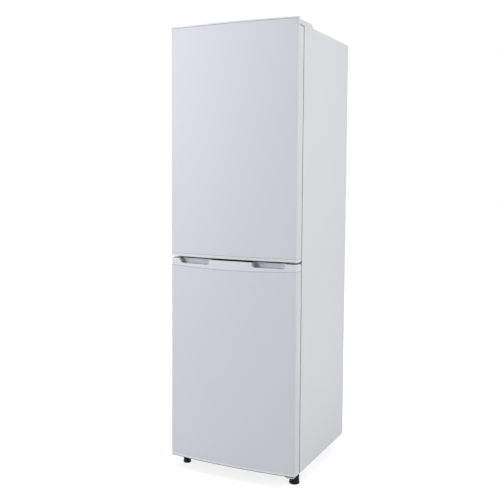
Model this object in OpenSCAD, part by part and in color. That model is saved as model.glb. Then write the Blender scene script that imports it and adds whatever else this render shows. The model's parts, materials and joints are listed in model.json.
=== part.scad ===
// Slim upright fridge freezer with two doors of like height.
// Millimetres. The doors face -Y, X runs to the right as seen from the front, Z is up,
// and the origin is on the floor under the middle of the whole object's box.

/* [Cabinet] */
// Width of the cabinet and of both doors
cabinet_w = 474; // [440:1:560]
// Depth of the cabinet, from its front face to the rear edge of its sides
cabinet_d = 447; // [420:1:520]
// Height of the cabinet's top above the floor
cabinet_top = 1528.5; // [1480:0.5:1640]
// Clearance under the cabinet's sides
floor_gap = 45.7; // [42:0.1:60]
// Thickness of the painted steel sheet
sheet_t = 0.8; // [0.6:0.1:1.2]
// Width of the steel flange round the front openings
flange_w = 28; // [24:1:32]
// Width of the flange along the rear edges
rear_flange_w = 12; // [8:1:18]
// Side wall, from the sheet's outside to the liner's inside
side_wall = 40; // [36:1:50]
// Top wall, from the sheet's outside to the liner's inside
top_wall = 40; // [36:1:50]
// Rear wall, from the cabinet's rear edge to the liner's inside
rear_wall = 47; // [42:1:60]
// Freezer floor, from the cabinet's lower edge to the liner's inside
floor_wall = 46; // [40:1:60]
// Wall between the freezer and the compressor niche
niche_wall = 45; // [38:1:55]
// Depth of the compressor niche
niche_d = 185; // [178:1:200]
// Gap between the drip tray and the niche's ceiling
niche_gap = 17.4; // [12:0.1:40]
// Height of the middle of the gap between the doors
split_z = 757; // [740:1:800]
// Height of the divider between the two openings
divider_h = 80; // [76:1:92]
// Thickness of the plastic liners
liner_t = 2.5; // [1.5:0.1:3]
// Inner corner radius of the liners
liner_r = 25; // [12:1:35]
// Depth of the two spacers that keep the back off the wall
spacer_d = 12; // [6:1:20]

/* [Doors] */
// Gap between the cabinet's front and the doors' backs
door_gap = 7; // [6.5:0.1:9]
// Thickness of the doors at their left and right edges
door_edge = 40; // [36:1:50]
// How far the middle of a door's front stands ahead of its edges
crown = 13.3; // [6:0.1:18]
// Radius of a door's upright front corners
corner_r = 8; // [2:0.5:12]
// How far the fridge door's top stands above the cabinet's top
door_rise = 20.5; // [18:0.5:26]
// How far the freezer door's lower edge hangs below the cabinet's sides
door_drop = 0.7; // [0.4:0.1:1.2]
// Height of the gap between the doors
split_gap = 6; // [5.6:0.1:8]
// Height of the fridge door's top cap above its skin, at the front
top_lip = 6; // [3:0.5:10]
// Height of the top cap at the door's sides
top_cap_h = 27; // [24:1:34]
// How far the top cap falls from front to back
cap_fall = 8; // [6:0.5:12]
// Height of the bottom caps
bottom_cap_h = 11; // [9:0.5:16]
// Height of the freezer door's grip cap at the door's sides
grip_cap_h = 24; // [22:1:34]
// How much lower the grip cap's edge is at the middle of the door
grip_cap_sag = 7.5; // [0:0.5:10]
// Length of a finger pocket
pocket_len = 119; // [90:1:130]
// Distance of a finger pocket's middle from the door's middle
pocket_x = 138.5; // [100:0.5:145]
// Height of a finger pocket
pocket_h = 17.5; // [12:0.5:20]
// Depth of a finger pocket behind the door's front
pocket_d = 24; // [16:1:28]
// Lower corner radius of a finger pocket
pocket_r = 12; // [6:0.5:14]
// Thickness of the moulded caps
cap_t = 3; // [2:0.1:4]
// Thickness of the door liners
door_liner_t = 2; // [1.2:0.1:3]
// How far the door liners reach into the openings
plug_in = 6; // [3:0.5:10]
// Clearance between a door liner's plug and the opening's side
plug_clear = 10; // [8:1:14]
// Width of the upright ridges on the fridge door's liner
ridge_w = 15; // [10:1:20]
// Height of the upright ridges above the liner's plug
ridge_h = 24; // [18:1:30]

/* [Hinges] */
// Distance of the hinge axis from the cabinet's right side
pin_inset = 12; // [11:0.5:14]
// Distance of the hinge axis ahead of the cabinet's front
pin_ahead = 21; // [20:0.5:24]
// How far the hinge corner's notch reaches ahead of the hinge axis
notch_front = 18; // [17.5:0.5:20]
// How far the hinge corner's notch reaches to the left of the hinge axis
notch_side = 16.5; // [16:0.5:20]
// Diameter of the hinge pins
pin_d = 8; // [6:0.5:9]
// Radial clearance of a hinge pin in its bush
pin_clear = 0.05; // [0.02:0.01:0.08]
// Wall of a hinge bush
bush_wall = 1.5; // [1:0.1:2]
// Length of a hinge bush
bush_len = 18; // [14:1:22]
// Thickness of a hinge plate
plate_t = 3; // [2:0.1:3.4]
// Thickness of the middle hinge's upright leg
leg_t = 2.5; // [2:0.1:2.8]
// Gap between a bush's flange and the hinge plate
flange_clear = 0.2; // [0.1:0.05:0.4]
// Diameter of a hinge screw
screw_d = 5; // [4:0.5:6]
// Diameter of a hinge screw's head
screw_head_d = 9; // [8:0.5:10]
// Length of a hinge screw below its head
screw_len = 16; // [12:1:20]

/* [Seals] */
// Width of a door gasket
gasket_w = 16; // [14:1:18]
// Distance of a gasket's outer edge from the door's edge
gasket_in = 13.5; // [12.5:0.5:15]
// Gap left between a gasket and the cabinet
gasket_clear = 0.3; // [0.2:0.05:0.5]

/* [Fridge inside] */
// Gap between the glass shelves' trims and the liner's back
shelf_rear = 8; // [4:1:60]
// Thickness of the glass shelves
glass_t = 4; // [3:0.5:6]
// Distance from the crisper's cover up to the lowest shelf
shelf_first = 135; // [110:1:150]
// Free height above the highest shelf
shelf_top = 132.2; // [110:0.1:180]
// Depth of a shelf's front trim
trim_d = 16; // [10:1:24]
// Width of the ledges that carry shelves
ledge_w = 8; // [6:1:12]
// Gap between a shelf and the liner at each side
shelf_clear = 1; // [0.5:0.1:2]
// Height of the crisper
crisper_h = 146; // [120:1:170]
// Gap between the crisper and the liner's back
crisper_rear = 26; // [10:1:80]
// Wall thickness of the crisper, bins and drawers
tub_t = 2.4; // [1.8:0.1:3.5]
// Gap under and beside a sliding drawer
slide_clear = 0.3; // [0.2:0.05:0.8]
// Depth of the door bins
bin_d = 78; // [60:1:84]
// Height of the two upper door bins
bin_h = 62; // [45:1:80]
// Diameter of the holes in the egg rack
egg_hole_d = 36; // [30:1:38]
// Number of holes in the egg rack
egg_count = 6; // [4:1:6]
// Height of the bottle bin
bottle_bin_h = 105; // [80:1:120]
// Distance from the upper bin's floor to the ceiling
bin_top = 201.5; // [150:0.5:260]
// Distance between the floors of the two upper bins
bin_pitch = 185; // [120:1:240]

/* [Freezer inside] */
// Gap above the highest freezer drawer
drawer_top = 17.9; // [10:0.1:60]
// Gap between the two upper drawers and the liner's back
drawer_rear = 20; // [6:1:80]
// Gap between a freezer drawer and the liner at each side
drawer_side = 8; // [4:1:14]
// Thickness of a drawer's front panel
panel_t = 4; // [3:0.5:6]
// Width of the grip slot in a drawer's front
grip_w = 110; // [80:1:150]
// Height of the grip slot in a drawer's front
grip_h = 24; // [18:1:30]

/* [Controls] */
// Width of the control housing
control_w = 150; // [120:1:200]
// Depth of the control housing
control_d = 112; // [90:1:140]
// Height of the control housing
control_h = 38; // [34:1:50]
// Diameter of the temperature dial
dial_d = 32; // [26:1:34]
// Depth of the temperature dial
dial_t = 12; // [8:1:16]
// Diameter of the dial's shaft
dial_shaft_d = 6; // [4:0.5:8]

/* [Feet and rollers] */
// Diameter of the left levelling foot
foot_d = 28; // [24:1:32]
// Diameter of the foot on the hinges' side
hinge_foot_d = 36; // [28:1:38]
// Height of a levelling foot's body
foot_h = 38; // [30:1:39]
// Distance of a levelling foot from the cabinet's side
foot_in = 27.6; // [24:0.1:34]
// Distance of a levelling foot behind the cabinet's front
foot_back = 20; // [17:1:28]
// Diameter of a levelling foot's stem
stem_d = 8; // [6:0.5:10]
// Length of the stem above the foot's body
stem_len = 34; // [24:1:40]
// Diameter of the rear rollers
roller_d = 40; // [32:1:44]
// Width of the rear rollers
roller_w = 16; // [12:1:20]
// Distance of a rear roller's middle from the cabinet's side
roller_in = 59; // [48:1:90]
// Diameter of a roller's axle
axle_d = 6; // [5:0.5:8]
// Radial clearance of turning parts other than the doors
turn_clear = 0.06; // [0.03:0.01:0.09]

/* [Compressor] */
// Diameter of the compressor's housing
pot_d = 124; // [110:1:130]
// Height of the compressor's housing
pot_h = 138; // [120:1:142]
// Distance of the compressor from the cabinet's middle, to the left
pot_left = 62; // [40:1:80]
// Height of the deck's top above the floor
deck_z = 64; // [60:1:72]
// Thickness of the deck's sheet
deck_t = 2; // [1.5:0.1:3]
// Height of the rubber grommets under the compressor
grommet_h = 12; // [8:1:16]
// Outer diameter of the refrigerant pipes
pipe_d = 6; // [4.8:0.1:8]
// Height of the drip tray
tray_h = 18; // [12:1:22]

/* [Hidden] */

// Paint and plastic colours
white_paint = "whitesmoke";
white_plastic = [0.93, 0.93, 0.94];
liner_white = [0.96, 0.97, 0.98];
clear_plastic = [0.80, 0.88, 0.92, 0.6];
glass_green = [0.75, 0.90, 0.86, 0.6];
seal_grey = [0.62, 0.63, 0.65];
steel_grey = [0.70, 0.71, 0.73];
black_plastic = [0.09, 0.09, 0.10];

// A cut runs past the face it opens by this much
past = 1;
// Gap that shows as a fine line between two moulded or painted pieces
seam = 0.6;
// Gap between pieces pushed into each other
snug = 0.05;
// Gap between sheets that butt in one plane
butt = 0.2;

half_w = cabinet_w / 2;
total_d = cabinet_d + spacer_d + door_gap + door_edge + crown;
// Where the cabinet's front face lies along Y
face_y = -total_d / 2 + door_gap + door_edge + crown;

// Doors
fridge_top = cabinet_top + door_rise;
fridge_bottom = split_z + split_gap / 2;
freezer_top = split_z - split_gap / 2;
freezer_bottom = floor_gap - door_drop;
cap_base = fridge_top - top_cap_h - cap_t - 1;
pin_x = half_w - pin_inset;
pin_y = -pin_ahead;
pin_r = pin_d / 2;
bush_r = pin_r + pin_clear + bush_wall;
// The nose of the top hinge's cover
nose_r = pin_inset - 0.2;
nose_ahead = 3;
notch_z = cap_base + cap_t;
bush_flange_t = 1.5;
// Where the hinge plates lie
top_plate_z = cabinet_top;
middle_plate_z = split_z - plate_t / 2;
rail_t = 1.5;
bottom_plate_z = floor_gap - rail_t - plate_t;

// Insides
open_w = half_w - side_wall;
inside_d = cabinet_d - rear_wall;
fridge_z0 = split_z + divider_h / 2;
fridge_z1 = cabinet_top - top_wall;
freezer_z0 = floor_gap + floor_wall;
freezer_z1 = split_z - divider_h / 2;
niche_y = cabinet_d - niche_d;
pot_z = deck_z + grommet_h;
tray_z = pot_z + pot_h + slide_clear;
niche_z = tray_z + tray_h + niche_gap;
step_y = niche_y - niche_wall;
step_z = niche_z + niche_wall;
// How far the liners' flanges stay inside the cabinet's sheet
tuck = 6;

// Fridge shelves
ledge_t = 5;
shelf_front = plug_in + ridge_h + bin_d - 8;
shelf_d = inside_d - shelf_front - shelf_rear;
cover_z = fridge_z0 + slide_clear + crisper_h + ledge_t + 3;
shelf_pitch = (fridge_z1 - shelf_top - cover_z - shelf_first) / 2;
shelf_w = open_w - shelf_clear;
crisper_front = shelf_front + 6;
crisper_d = inside_d - crisper_front - crisper_rear;
crisper_w = open_w - 7;
// Half width of a tub that stands on a liner's floor, inside its round corners
floor_half = open_w - liner_r + 2;

// Freezer shelves and drawers
freezer_shelf_z1 = step_z + 2;
drawer_front = plug_in + 8;
// Room over a drawer for the next shelf's ledges
drawer_gap = ledge_t + 5;
drawer_h = (freezer_z1 - drawer_top - freezer_shelf_z1 - drawer_gap - 0.1 - slide_clear) / 2 - glass_t;
freezer_shelf_z2 = freezer_shelf_z1 + glass_t + drawer_h + drawer_gap;
drawer_w = open_w - drawer_side;
low_drawer_h = freezer_shelf_z1 - drawer_gap - freezer_z0;
drawer_d = inside_d - drawer_front - drawer_rear;
low_drawer_d = step_y - drawer_front - panel_t - 4;

// Door bins
bin_half = open_w - plug_clear - ridge_w - 5.5;
bin_back = plug_in + 0.6;
bottle_bin_z = fridge_z0 + 40;
bin_z3 = fridge_z1 - bin_top;
bin_z2 = bin_z3 - bin_pitch;
lug_t = 6;
lug_d = 18;
egg_floor = bin_z3 + tub_t + slide_clear;

// Controls
control_y = shelf_front + 20;
control_z = fridge_z1 - control_h;
dial_x = control_w / 4;
dial_z = control_z + control_h / 2;

// Compressor
pot_x = -pot_left;
pot_y = niche_y + niche_d * 0.47;
pot_r = pot_d / 2;
leg_x = 84;
leg_y = 46;
roller_x = half_w - roller_in;
roller_y = cabinet_d - 30;

// Small helpers

module at_front() {
    translate([0, face_y, 0]) children();
}

// A box between two corners
module span(lo, hi) {
    translate(lo) cube(hi - lo);
}

// A flat outline in X and Z, given depth along Y
module along_y(y0, y1) {
    translate([0, y1, 0]) rotate([90, 0, 0]) linear_extrude(y1 - y0) children();
}

// A flat outline in Y and Z, given width along X
module along_x(x0, x1) {
    translate([x0, 0, 0]) rotate([90, 0, 90]) linear_extrude(x1 - x0) children();
}

module along_z(z0, z1) {
    translate([0, 0, z0]) linear_extrude(z1 - z0) children();
}

module both_sides() {
    children();
    mirror([1, 0, 0]) children();
}

function arc(centre, r, from, to, n) = [
    for (i = [0:n])
        let (a = from + (to - from) * i / n)
        centre + r * [cos(a), sin(a)]
];

// A rectangle with round corners, counter-clockwise
function round_rect(lo, hi, r, n = 6) = concat(
    arc([hi[0] - r, lo[1] + r], r, -90, 0, n),
    arc([hi[0] - r, hi[1] - r], r, 0, 90, n),
    arc([lo[0] + r, hi[1] - r], r, 90, 180, n),
    arc([lo[0] + r, lo[1] + r], r, 180, 270, n)
);

// A rectangle whose two corners on the high side of Y have their own radius
function tub_outline(half, y0, y1, r0, r1, n = 6) = concat(
    arc([half - r0, y0 + r0], r0, -90, 0, n),
    arc([half - r1, y1 - r1], r1, 0, 90, n),
    arc([-half + r1, y1 - r1], r1, 90, 180, n),
    arc([-half + r0, y0 + r0], r0, 180, 270, n)
);

// A tube of regular cross-section swept along points, for pipes with no bore
module swept(points, r, sides = 8) {
    count = len(points);
    tangents = [
        for (i = [0:count - 1])
            let (d = points[min(i + 1, count - 1)] - points[max(i - 1, 0)])
            d / norm(d)
    ];
    rings = [
        for (i = [0:count - 1])
            let (t = tangents[i])
            let (side = cross(t, abs(t[2]) > 0.9 ? [1, 0, 0] : [0, 0, 1]))
            let (u = side / norm(side))
            let (v = cross(t, u))
            for (k = [0:sides - 1])
                points[i] + r * (cos(360 * k / sides) * u + sin(360 * k / sides) * v)
    ];
    polyhedron(rings, concat(
        [[for (k = [0:sides - 1]) k]],
        [
            for (i = [0:count - 2])
                for (k = [0:sides - 1])
                    let (a = i * sides + k)
                    let (b = i * sides + (k + 1) % sides)
                    [a, a + sides, b + sides, b]
        ],
        [[for (k = [sides - 1:-1:0]) (count - 1) * sides + k]]
    ));
}

// Points of a route with each inner corner rounded by an arc-like curve
function smooth_route(points, r, n = 4) = concat(
    [points[0]],
    [
        for (i = [1:len(points) - 2])
            let (p = points[i])
            let (a = points[i - 1] - p)
            let (b = points[i + 1] - p)
            let (s = min(r, norm(a) / 2.2, norm(b) / 2.2))
            let (p0 = p + s * a / norm(a))
            let (p1 = p + s * b / norm(b))
            for (k = [0:n])
                let (t = k / n)
                (1 - t) * (1 - t) * p0 + 2 * t * (1 - t) * p + t * t * p1
    ],
    [points[len(points) - 1]]
);

// Door outline seen from above, drawn in by inset from the true one
function door_front(x) = -(door_gap + door_edge) - crown * (1 - pow(x / half_w, 2));
function door_outline(inset, n = 36) =
    let (h = half_w - inset)
    let (r = max(corner_r - inset, 0.5))
    let (x1 = h - r)
    let (yc = door_front(x1) + inset + r)
    let (back = -door_gap - inset)
    concat(
        [[-h, back]],
        arc([-x1, yc], r, 180, 270, 5),
        [
            for (i = [1:n - 1])
                let (x = -x1 + 2 * x1 * i / n)
                [x, door_front(x) + inset]
        ],
        arc([x1, yc], r, -90, 0, 5),
        [[h, back]]
    );

// A screw; grow widens it to cut its hole
module screw(grow = 0) {
    translate([0, 0, -screw_len]) cylinder(h = screw_len + past * 0.2, r = screw_d / 2 + grow, $fn = 24);
    if (grow == 0) cylinder(h = 2, r = screw_head_d / 2, $fn = 32);
}

// Screws of the top, middle and bottom hinges
module top_screws(grow = 0) {
    for (p = [[-40, 24], [-40, 50], [-12, 50]])
        translate([pin_x + p[0], p[1], top_plate_z + plate_t]) screw(grow);
}

module middle_screws(grow = 0) {
    for (p = [[-40, 0], [-18, 6.3], [-18, -6.3]])
        translate([pin_x + p[0], -leg_t, split_z + p[1]]) rotate([90, 0, 0]) screw(grow);
}

module bottom_screws(grow = 0) {
    for (p = [[-33, 8], [-33, 36], [3, 36]])
        translate([pin_x + p[0], p[1], bottom_plate_z]) rotate([180, 0, 0]) screw(grow);
}

// Cabinet

module cabinet_wrap() {
    inner = half_w - sheet_t;
    color(white_paint) at_front() difference() {
        along_z(floor_gap, cabinet_top)
            polygon(round_rect([-half_w, 0], [half_w, cabinet_d], 2, 3));
        span([-inner, sheet_t, floor_gap - past], [inner, cabinet_d - sheet_t, cabinet_top - sheet_t]);
        span([-half_w + flange_w, -past, floor_gap - past],
             [half_w - flange_w, sheet_t + past, cabinet_top - flange_w]);
        span([-half_w + rear_flange_w, cabinet_d - sheet_t - past, floor_gap - past],
             [half_w - rear_flange_w, cabinet_d + past, cabinet_top - rear_flange_w]);
        top_screws(0.1);
        middle_screws(0.1);
    }
}

module rear_panel() {
    inner = half_w - sheet_t - butt;
    y1 = cabinet_d - sheet_t;
    bead_half = half_w - rear_flange_w - 34;
    bead_w = 14;
    bead_t = 2.2;
    beads = 7;
    z0 = niche_z + 60;
    pitch = (cabinet_top - rear_flange_w - 110 - z0) / (beads - 1);
    color(white_paint) at_front() union() {
        span([-inner, y1 - sheet_t, niche_z], [inner, y1, cabinet_top - sheet_t - butt]);
        for (i = [0:beads - 1])
            translate([0, 0, z0 + i * pitch])
                along_y(y1 - sheet_t / 2, y1 + bead_t)
                    polygon(round_rect([-bead_half, -bead_w / 2], [bead_half, bead_w / 2], 6.5, 5));
    }
}

module rear_spacers() {
    y0 = cabinet_d - sheet_t;
    color(white_plastic) at_front() both_sides()
        translate([half_w - rear_flange_w - 30, 0, cabinet_top - 70]) difference() {
            along_y(y0, cabinet_d + spacer_d)
                polygon(round_rect([-13, -20], [13, 20], 8, 5));
            along_y(y0 + 4, cabinet_d + spacer_d + past)
                polygon(round_rect([-10.5, -17.5], [10.5, 17.5], 5.5, 5));
        }
}

// The compartments' own shapes, grown outwards by grow
module fridge_void(grow, y0) {
    along_y(y0, inside_d + grow)
        polygon(round_rect([-open_w - grow, fridge_z0 - grow], [open_w + grow, fridge_z1 + grow],
                           liner_r + grow));
}

module freezer_void(grow, y0) {
    intersection() {
        along_y(y0, inside_d + grow)
            polygon(round_rect([-open_w - grow, freezer_z0 - grow],
                               [open_w + grow, freezer_z1 + grow], liner_r + grow));
        along_x(-open_w - grow - past, open_w + grow + past)
            polygon([
                [y0 - past, freezer_z0 - grow - past], [step_y + grow, freezer_z0 - grow - past],
                [step_y + grow, step_z - grow], [inside_d + grow + past, step_z - grow],
                [inside_d + grow + past, freezer_z1 + grow + past],
                [y0 - past, freezer_z1 + grow + past]
            ]);
    }
}

// Everything that the foamed wall goes round near the feet
module stem_pockets() {
    both_sides()
        translate([half_w - foot_in, foot_back, floor_gap - past])
            cylinder(h = stem_len + 6, r = stem_d / 2 + 3, $fn = 32);
}

module drain_path(grow) {
    translate([-20, cabinet_d - 23, niche_z - past * 3])
        cylinder(h = fridge_z0 + 20 - niche_z + past * 3, r = 6 + grow, $fn = 32);
    translate([-20, inside_d + liner_t - past, fridge_z0 + 14]) rotate([-90, 0, 0])
        cylinder(h = rear_wall - 23 - liner_t + past, r = 5 + grow, $fn = 32);
}

module insulation_foam() {
    inner = half_w - sheet_t;
    rear = cabinet_d - 2 * sheet_t;
    color([0.93, 0.87, 0.66]) at_front() difference() {
        span([-inner, sheet_t + liner_t, floor_gap + sheet_t], [inner, rear, cabinet_top - sheet_t]);
        fridge_void(liner_t, -past);
        freezer_void(liner_t, -past);
        span([-inner - past, niche_y - sheet_t, floor_gap - past], [inner + past, rear + past, niche_z]);
        stem_pockets();
        drain_path(0);
        top_screws(0.1);
        middle_screws(0.1);
        bottom_screws(0.1);
    }
}

// The flat rim of a liner, tucked behind the steel flange
module liner_rim(z0, z1) {
    along_y(sheet_t, sheet_t + liner_t)
        polygon([
            [-half_w + tuck, z0], [half_w - tuck, z0], [half_w - tuck, z1], [-half_w + tuck, z1]
        ]);
}

// Ledges on both side walls; top is the height of what they carry
module ledges(y0, y1, top) {
    both_sides()
        along_y(y0, y1)
            polygon([
                [open_w + liner_t / 2, top], [open_w - ledge_w, top],
                [open_w - ledge_w, top - ledge_t * 0.5], [open_w + liner_t / 2, top - ledge_t]
            ]);
}

shelf_heights = [for (i = [0:2]) cover_z + shelf_first + i * shelf_pitch];

module fridge_liner() {
    gutter_z = cover_z + glass_t + 22;
    color(liner_white) at_front() difference() {
        union() {
            difference() {
                union() {
                    fridge_void(liner_t, sheet_t);
                    liner_rim(split_z + 1, cabinet_top - sheet_t - tuck);
                }
                fridge_void(0, -past);
            }
            for (top = concat([cover_z], shelf_heights))
                ledges(shelf_front + 4, inside_d + liner_t / 2, top);
            // Gutter that leads melt water to the middle of the rear wall
            for (side = [-1, 1])
                translate([0, inside_d, gutter_z]) rotate([0, side * 3, 0])
                    translate([side > 0 ? -open_w + 20 : 8, -10, 0])
                        cube([open_w - 28, 11, 3]);
        }
        drain_path(0);
        middle_screws(0.1);
    }
}

module freezer_liner() {
    color(liner_white) at_front() difference() {
        union() {
            difference() {
                union() {
                    freezer_void(liner_t, sheet_t);
                    liner_rim(floor_gap + 12, split_z - 1);
                }
                freezer_void(0, -past);
            }
            ledges(drawer_front + 6, step_y + liner_t / 2, freezer_shelf_z1);
            ledges(drawer_front + 6, inside_d + liner_t / 2, freezer_shelf_z2);
        }
        middle_screws(0.1);
    }
}

module divider_rail() {
    inner = half_w - flange_w - butt;
    color(white_paint) at_front() difference() {
        span([-inner, 0, fridge_z0 - 10 - 60], [inner, sheet_t, fridge_z0 - 10]);
        middle_screws(0.1);
    }
}

// Lower front rail, with a flange for the feet
module front_rail() {
    inner = half_w - flange_w - butt;
    color(white_paint) at_front() difference() {
        union() {
            span([-inner, 0, floor_gap - rail_t], [inner, sheet_t, freezer_z0 - 14]);
            span([-half_w + 1, 0, floor_gap - rail_t], [half_w - 1, 48, floor_gap]);
        }
        both_sides()
            translate([half_w - foot_in, foot_back, floor_gap - rail_t - past])
                cylinder(h = rail_t + 2 * past, r = stem_d / 2 + turn_clear, $fn = 48);
        bottom_screws(0.1);
    }
}

module base_plate() {
    inner = half_w - sheet_t - butt;
    t = sheet_t;
    rear = cabinet_d - 2 * sheet_t;
    color(steel_grey) at_front() difference() {
        along_x(-inner, inner)
            polygon([
                [t + butt, floor_gap], [niche_y, floor_gap], [niche_y, niche_z - t],
                [rear, niche_z - t], [rear, niche_z], [niche_y - t, niche_z],
                [niche_y - t, floor_gap + t], [t + butt, floor_gap + t]
            ]);
        both_sides()
            translate([half_w - foot_in, foot_back, floor_gap - past])
                cylinder(h = t + 2 * past, r = stem_d / 2 + 1, $fn = 32);
        bottom_screws(0.1);
        translate([-20, cabinet_d - 23, niche_z - past * 3]) cylinder(h = 5, r = 6, $fn = 32);
    }
}

// Deck for the compressor, hung between the cabinet's sides, with ears for the rollers
module compressor_deck() {
    inner = half_w - sheet_t - snug;
    y0 = niche_y + 6;
    y1 = cabinet_d - 6;
    ear_t = 2;
    ear_r = 11;
    gap = roller_w / 2 + 0.5;
    color(steel_grey) at_front() difference() {
        union() {
            span([-inner, y0, deck_z - deck_t], [inner, y1, deck_z]);
            both_sides() {
                span([inner - deck_t, y0, deck_z - deck_t], [inner, y1, deck_z + 24]);
                for (x = [roller_x - gap - ear_t, roller_x + gap])
                    translate([x, 0, 0]) {
                        span([0, roller_y - ear_r, roller_d / 2], [ear_t, roller_y + ear_r, deck_z - deck_t / 2]);
                        translate([0, roller_y, roller_d / 2]) rotate([0, 90, 0])
                            cylinder(h = ear_t, r = ear_r, $fn = 48);
                    }
            }
            // Lips that stiffen the deck's front and rear edges
            span([-inner, y0, deck_z - deck_t - 8], [inner, y0 + deck_t, deck_z]);
            span([-inner, y1 - deck_t, deck_z - deck_t - 8], [inner, y1, deck_z]);
            // Upright tab that holds the mains gland
            span([gland_x - 16, y1 - deck_t, deck_z - deck_t], [gland_x + 16, y1, deck_z + 34]);
        }
        both_sides()
            translate([roller_x - gap - ear_t - past, roller_y, roller_d / 2]) rotate([0, 90, 0])
                cylinder(h = roller_w + 2 * ear_t + 4 * past, r = axle_d / 2 + snug, $fn = 32);
        for (sx = [-1, 1])
            for (sy = [-1, 1])
                translate([pot_x + sx * leg_x, pot_y + sy * leg_y, deck_z - deck_t - past])
                    cylinder(h = deck_t + 2 * past, r = 6 + snug, $fn = 32);
        translate([gland_x, y1 - deck_t - past, gland_z]) rotate([-90, 0, 0])
            cylinder(h = deck_t + 2 * past, r = gland_r + snug, $fn = 32);
    }
}

gland_x = half_w - 87;
gland_z = deck_z + 18;
gland_r = 7;

module mains_gland() {
    y1 = cabinet_d - 6;
    color(black_plastic) at_front() translate([gland_x, y1, gland_z]) rotate([-90, 0, 0]) difference() {
        rotate_extrude($fn = 40)
            polygon([
                [0, -14], [gland_r, -14], [gland_r, 0], [gland_r + 3, 0],
                [gland_r + 3, 3], [gland_r - 1.5, 10], [0, 10]
            ]);
        translate([0, 0, 6]) cylinder(h = 4 + past, r = 3.6, $fn = 32);
    }
}

// Hinges of the cabinet

module top_hinge_bracket() {
    z = top_plate_z;
    color(steel_grey) at_front() difference() {
        union() {
            along_z(z, z + plate_t)
                polygon(concat(
                    arc([pin_x, pin_y], 7, 180, 360, 10),
                    [[pin_x + 7, 10], [pin_x + 7, 60], [pin_x + 1, 64]],
                    [[pin_x - 46, 64], [pin_x - 50, 60], [pin_x - 50, 20], [pin_x - 46, 16]],
                    [[pin_x - 14, 16], [pin_x - 7, 9]]
                ));
            translate([pin_x, pin_y, notch_z - bush_len + 4])
                cylinder(h = z + plate_t - notch_z + bush_len - 4, r = pin_r, $fn = 48);
            translate([pin_x, pin_y, notch_z + bush_flange_t + flange_clear])
                cylinder(h = z - notch_z - bush_flange_t, r = pin_r + 2.2, $fn = 48);
        }
        top_screws(0.1);
    }
}

// Cover of the top hinge: a hollow moulding with a nose that drops round the pin
module top_hinge_cover() {
    top = fridge_top - cap_fall;
    t = 1.6;
    back = 80;
    ramp = 18;
    x0 = pin_x - 62;
    left = pin_x - 10;
    module outer(grow) {
        along_x(x0 - grow, half_w + grow)
            polygon([
                [4 - grow, cabinet_top - (grow < 0 ? past : 0)], [4 - grow, top + grow],
                [back - ramp, top + grow], [back + grow, cabinet_top + 3],
                [back + grow, cabinet_top - (grow < 0 ? past : 0)]
            ]);
    }
    module nose(grow, z0) {
        along_z(z0, top + grow)
            polygon(concat(
                arc([pin_x, pin_y - nose_ahead], nose_r + grow, 213, 360, 12),
                [[pin_x + nose_r + grow, 6], [left - grow, 6], [left - grow, pin_y]]
            ));
    }
    color(white_plastic) at_front() difference() {
        union() {
            intersection() {
                outer(0);
                along_z(0, fridge_top)
                    polygon(round_rect([x0, 4], [half_w, back], 6, 5));
            }
            nose(0, cabinet_top - 5);
            span([left, -4, cabinet_top], [pin_x + nose_r, 6, top]);
        }
        span([left - past, -0.6, cabinet_top - 6], [half_w + past, 8, cabinet_top]);
        outer(-t);
        nose(-t, cabinet_top - 5 - past);
        span([left + t, -4, cabinet_top - past], [pin_x + nose_r - t, 8, top - t]);
    }
}

module middle_hinge_bracket() {
    z = middle_plate_z;
    front = pin_y - 17;
    color(steel_grey) at_front() difference() {
        union() {
            along_y(-leg_t, 0)
                polygon(round_rect([pin_x - 50, split_z - 11.5], [pin_x + 7, split_z + 11.5], 3, 3));
            along_z(z, z + plate_t)
                polygon(concat(
                    [[pin_x + 7, -leg_t / 2], [pin_x - 26, -leg_t / 2]],
                    [[pin_x - 22, -leg_t - 8]],
                    arc([pin_x - 19, front + 3], 3, 180, 270, 3),
                    [[pin_x - 4, front], [pin_x + 7, front + 11]]
                ));
            translate([pin_x, pin_y, z + plate_t / 2 - bush_len])
                cylinder(h = 2 * bush_len, r = pin_r, $fn = 48);
        }
        middle_screws(0.1);
    }
}

module bottom_hinge_bracket() {
    z = bottom_plate_z;
    front = pin_y - 27;
    color(steel_grey) at_front() difference() {
        union() {
            along_z(z, z + plate_t)
                polygon(concat(
                    [[pin_x + 8, 44], [pin_x - 38, 44], [pin_x - 38, -2]],
                    [[pin_x - 30, front + 10], [pin_x - 19, front]],
                    arc([pin_x + 2, front + 6], 6, 270, 360, 4)
                ));
            // Stiffening lip
            along_y(front, front + 2.5)
                polygon([
                    [pin_x - 19, z + 1], [pin_x - 3, z + 1],
                    [pin_x - 6, z - 2.5], [pin_x - 16, z - 2.5]
                ]);
            translate([pin_x, pin_y, z + plate_t / 2])
                cylinder(h = bush_len + plate_t / 2, r = pin_r, $fn = 48);
        }
        translate([half_w - foot_in, foot_back, z - past])
            cylinder(h = plate_t + 2 * past, r = stem_d / 2 + turn_clear, $fn = 48);
        bottom_screws(0.1);
    }
}

module hinge_screws() {
    color(steel_grey) at_front() {
        top_screws();
        middle_screws();
        bottom_screws();
    }
}

// Compressor and its neighbours

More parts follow.
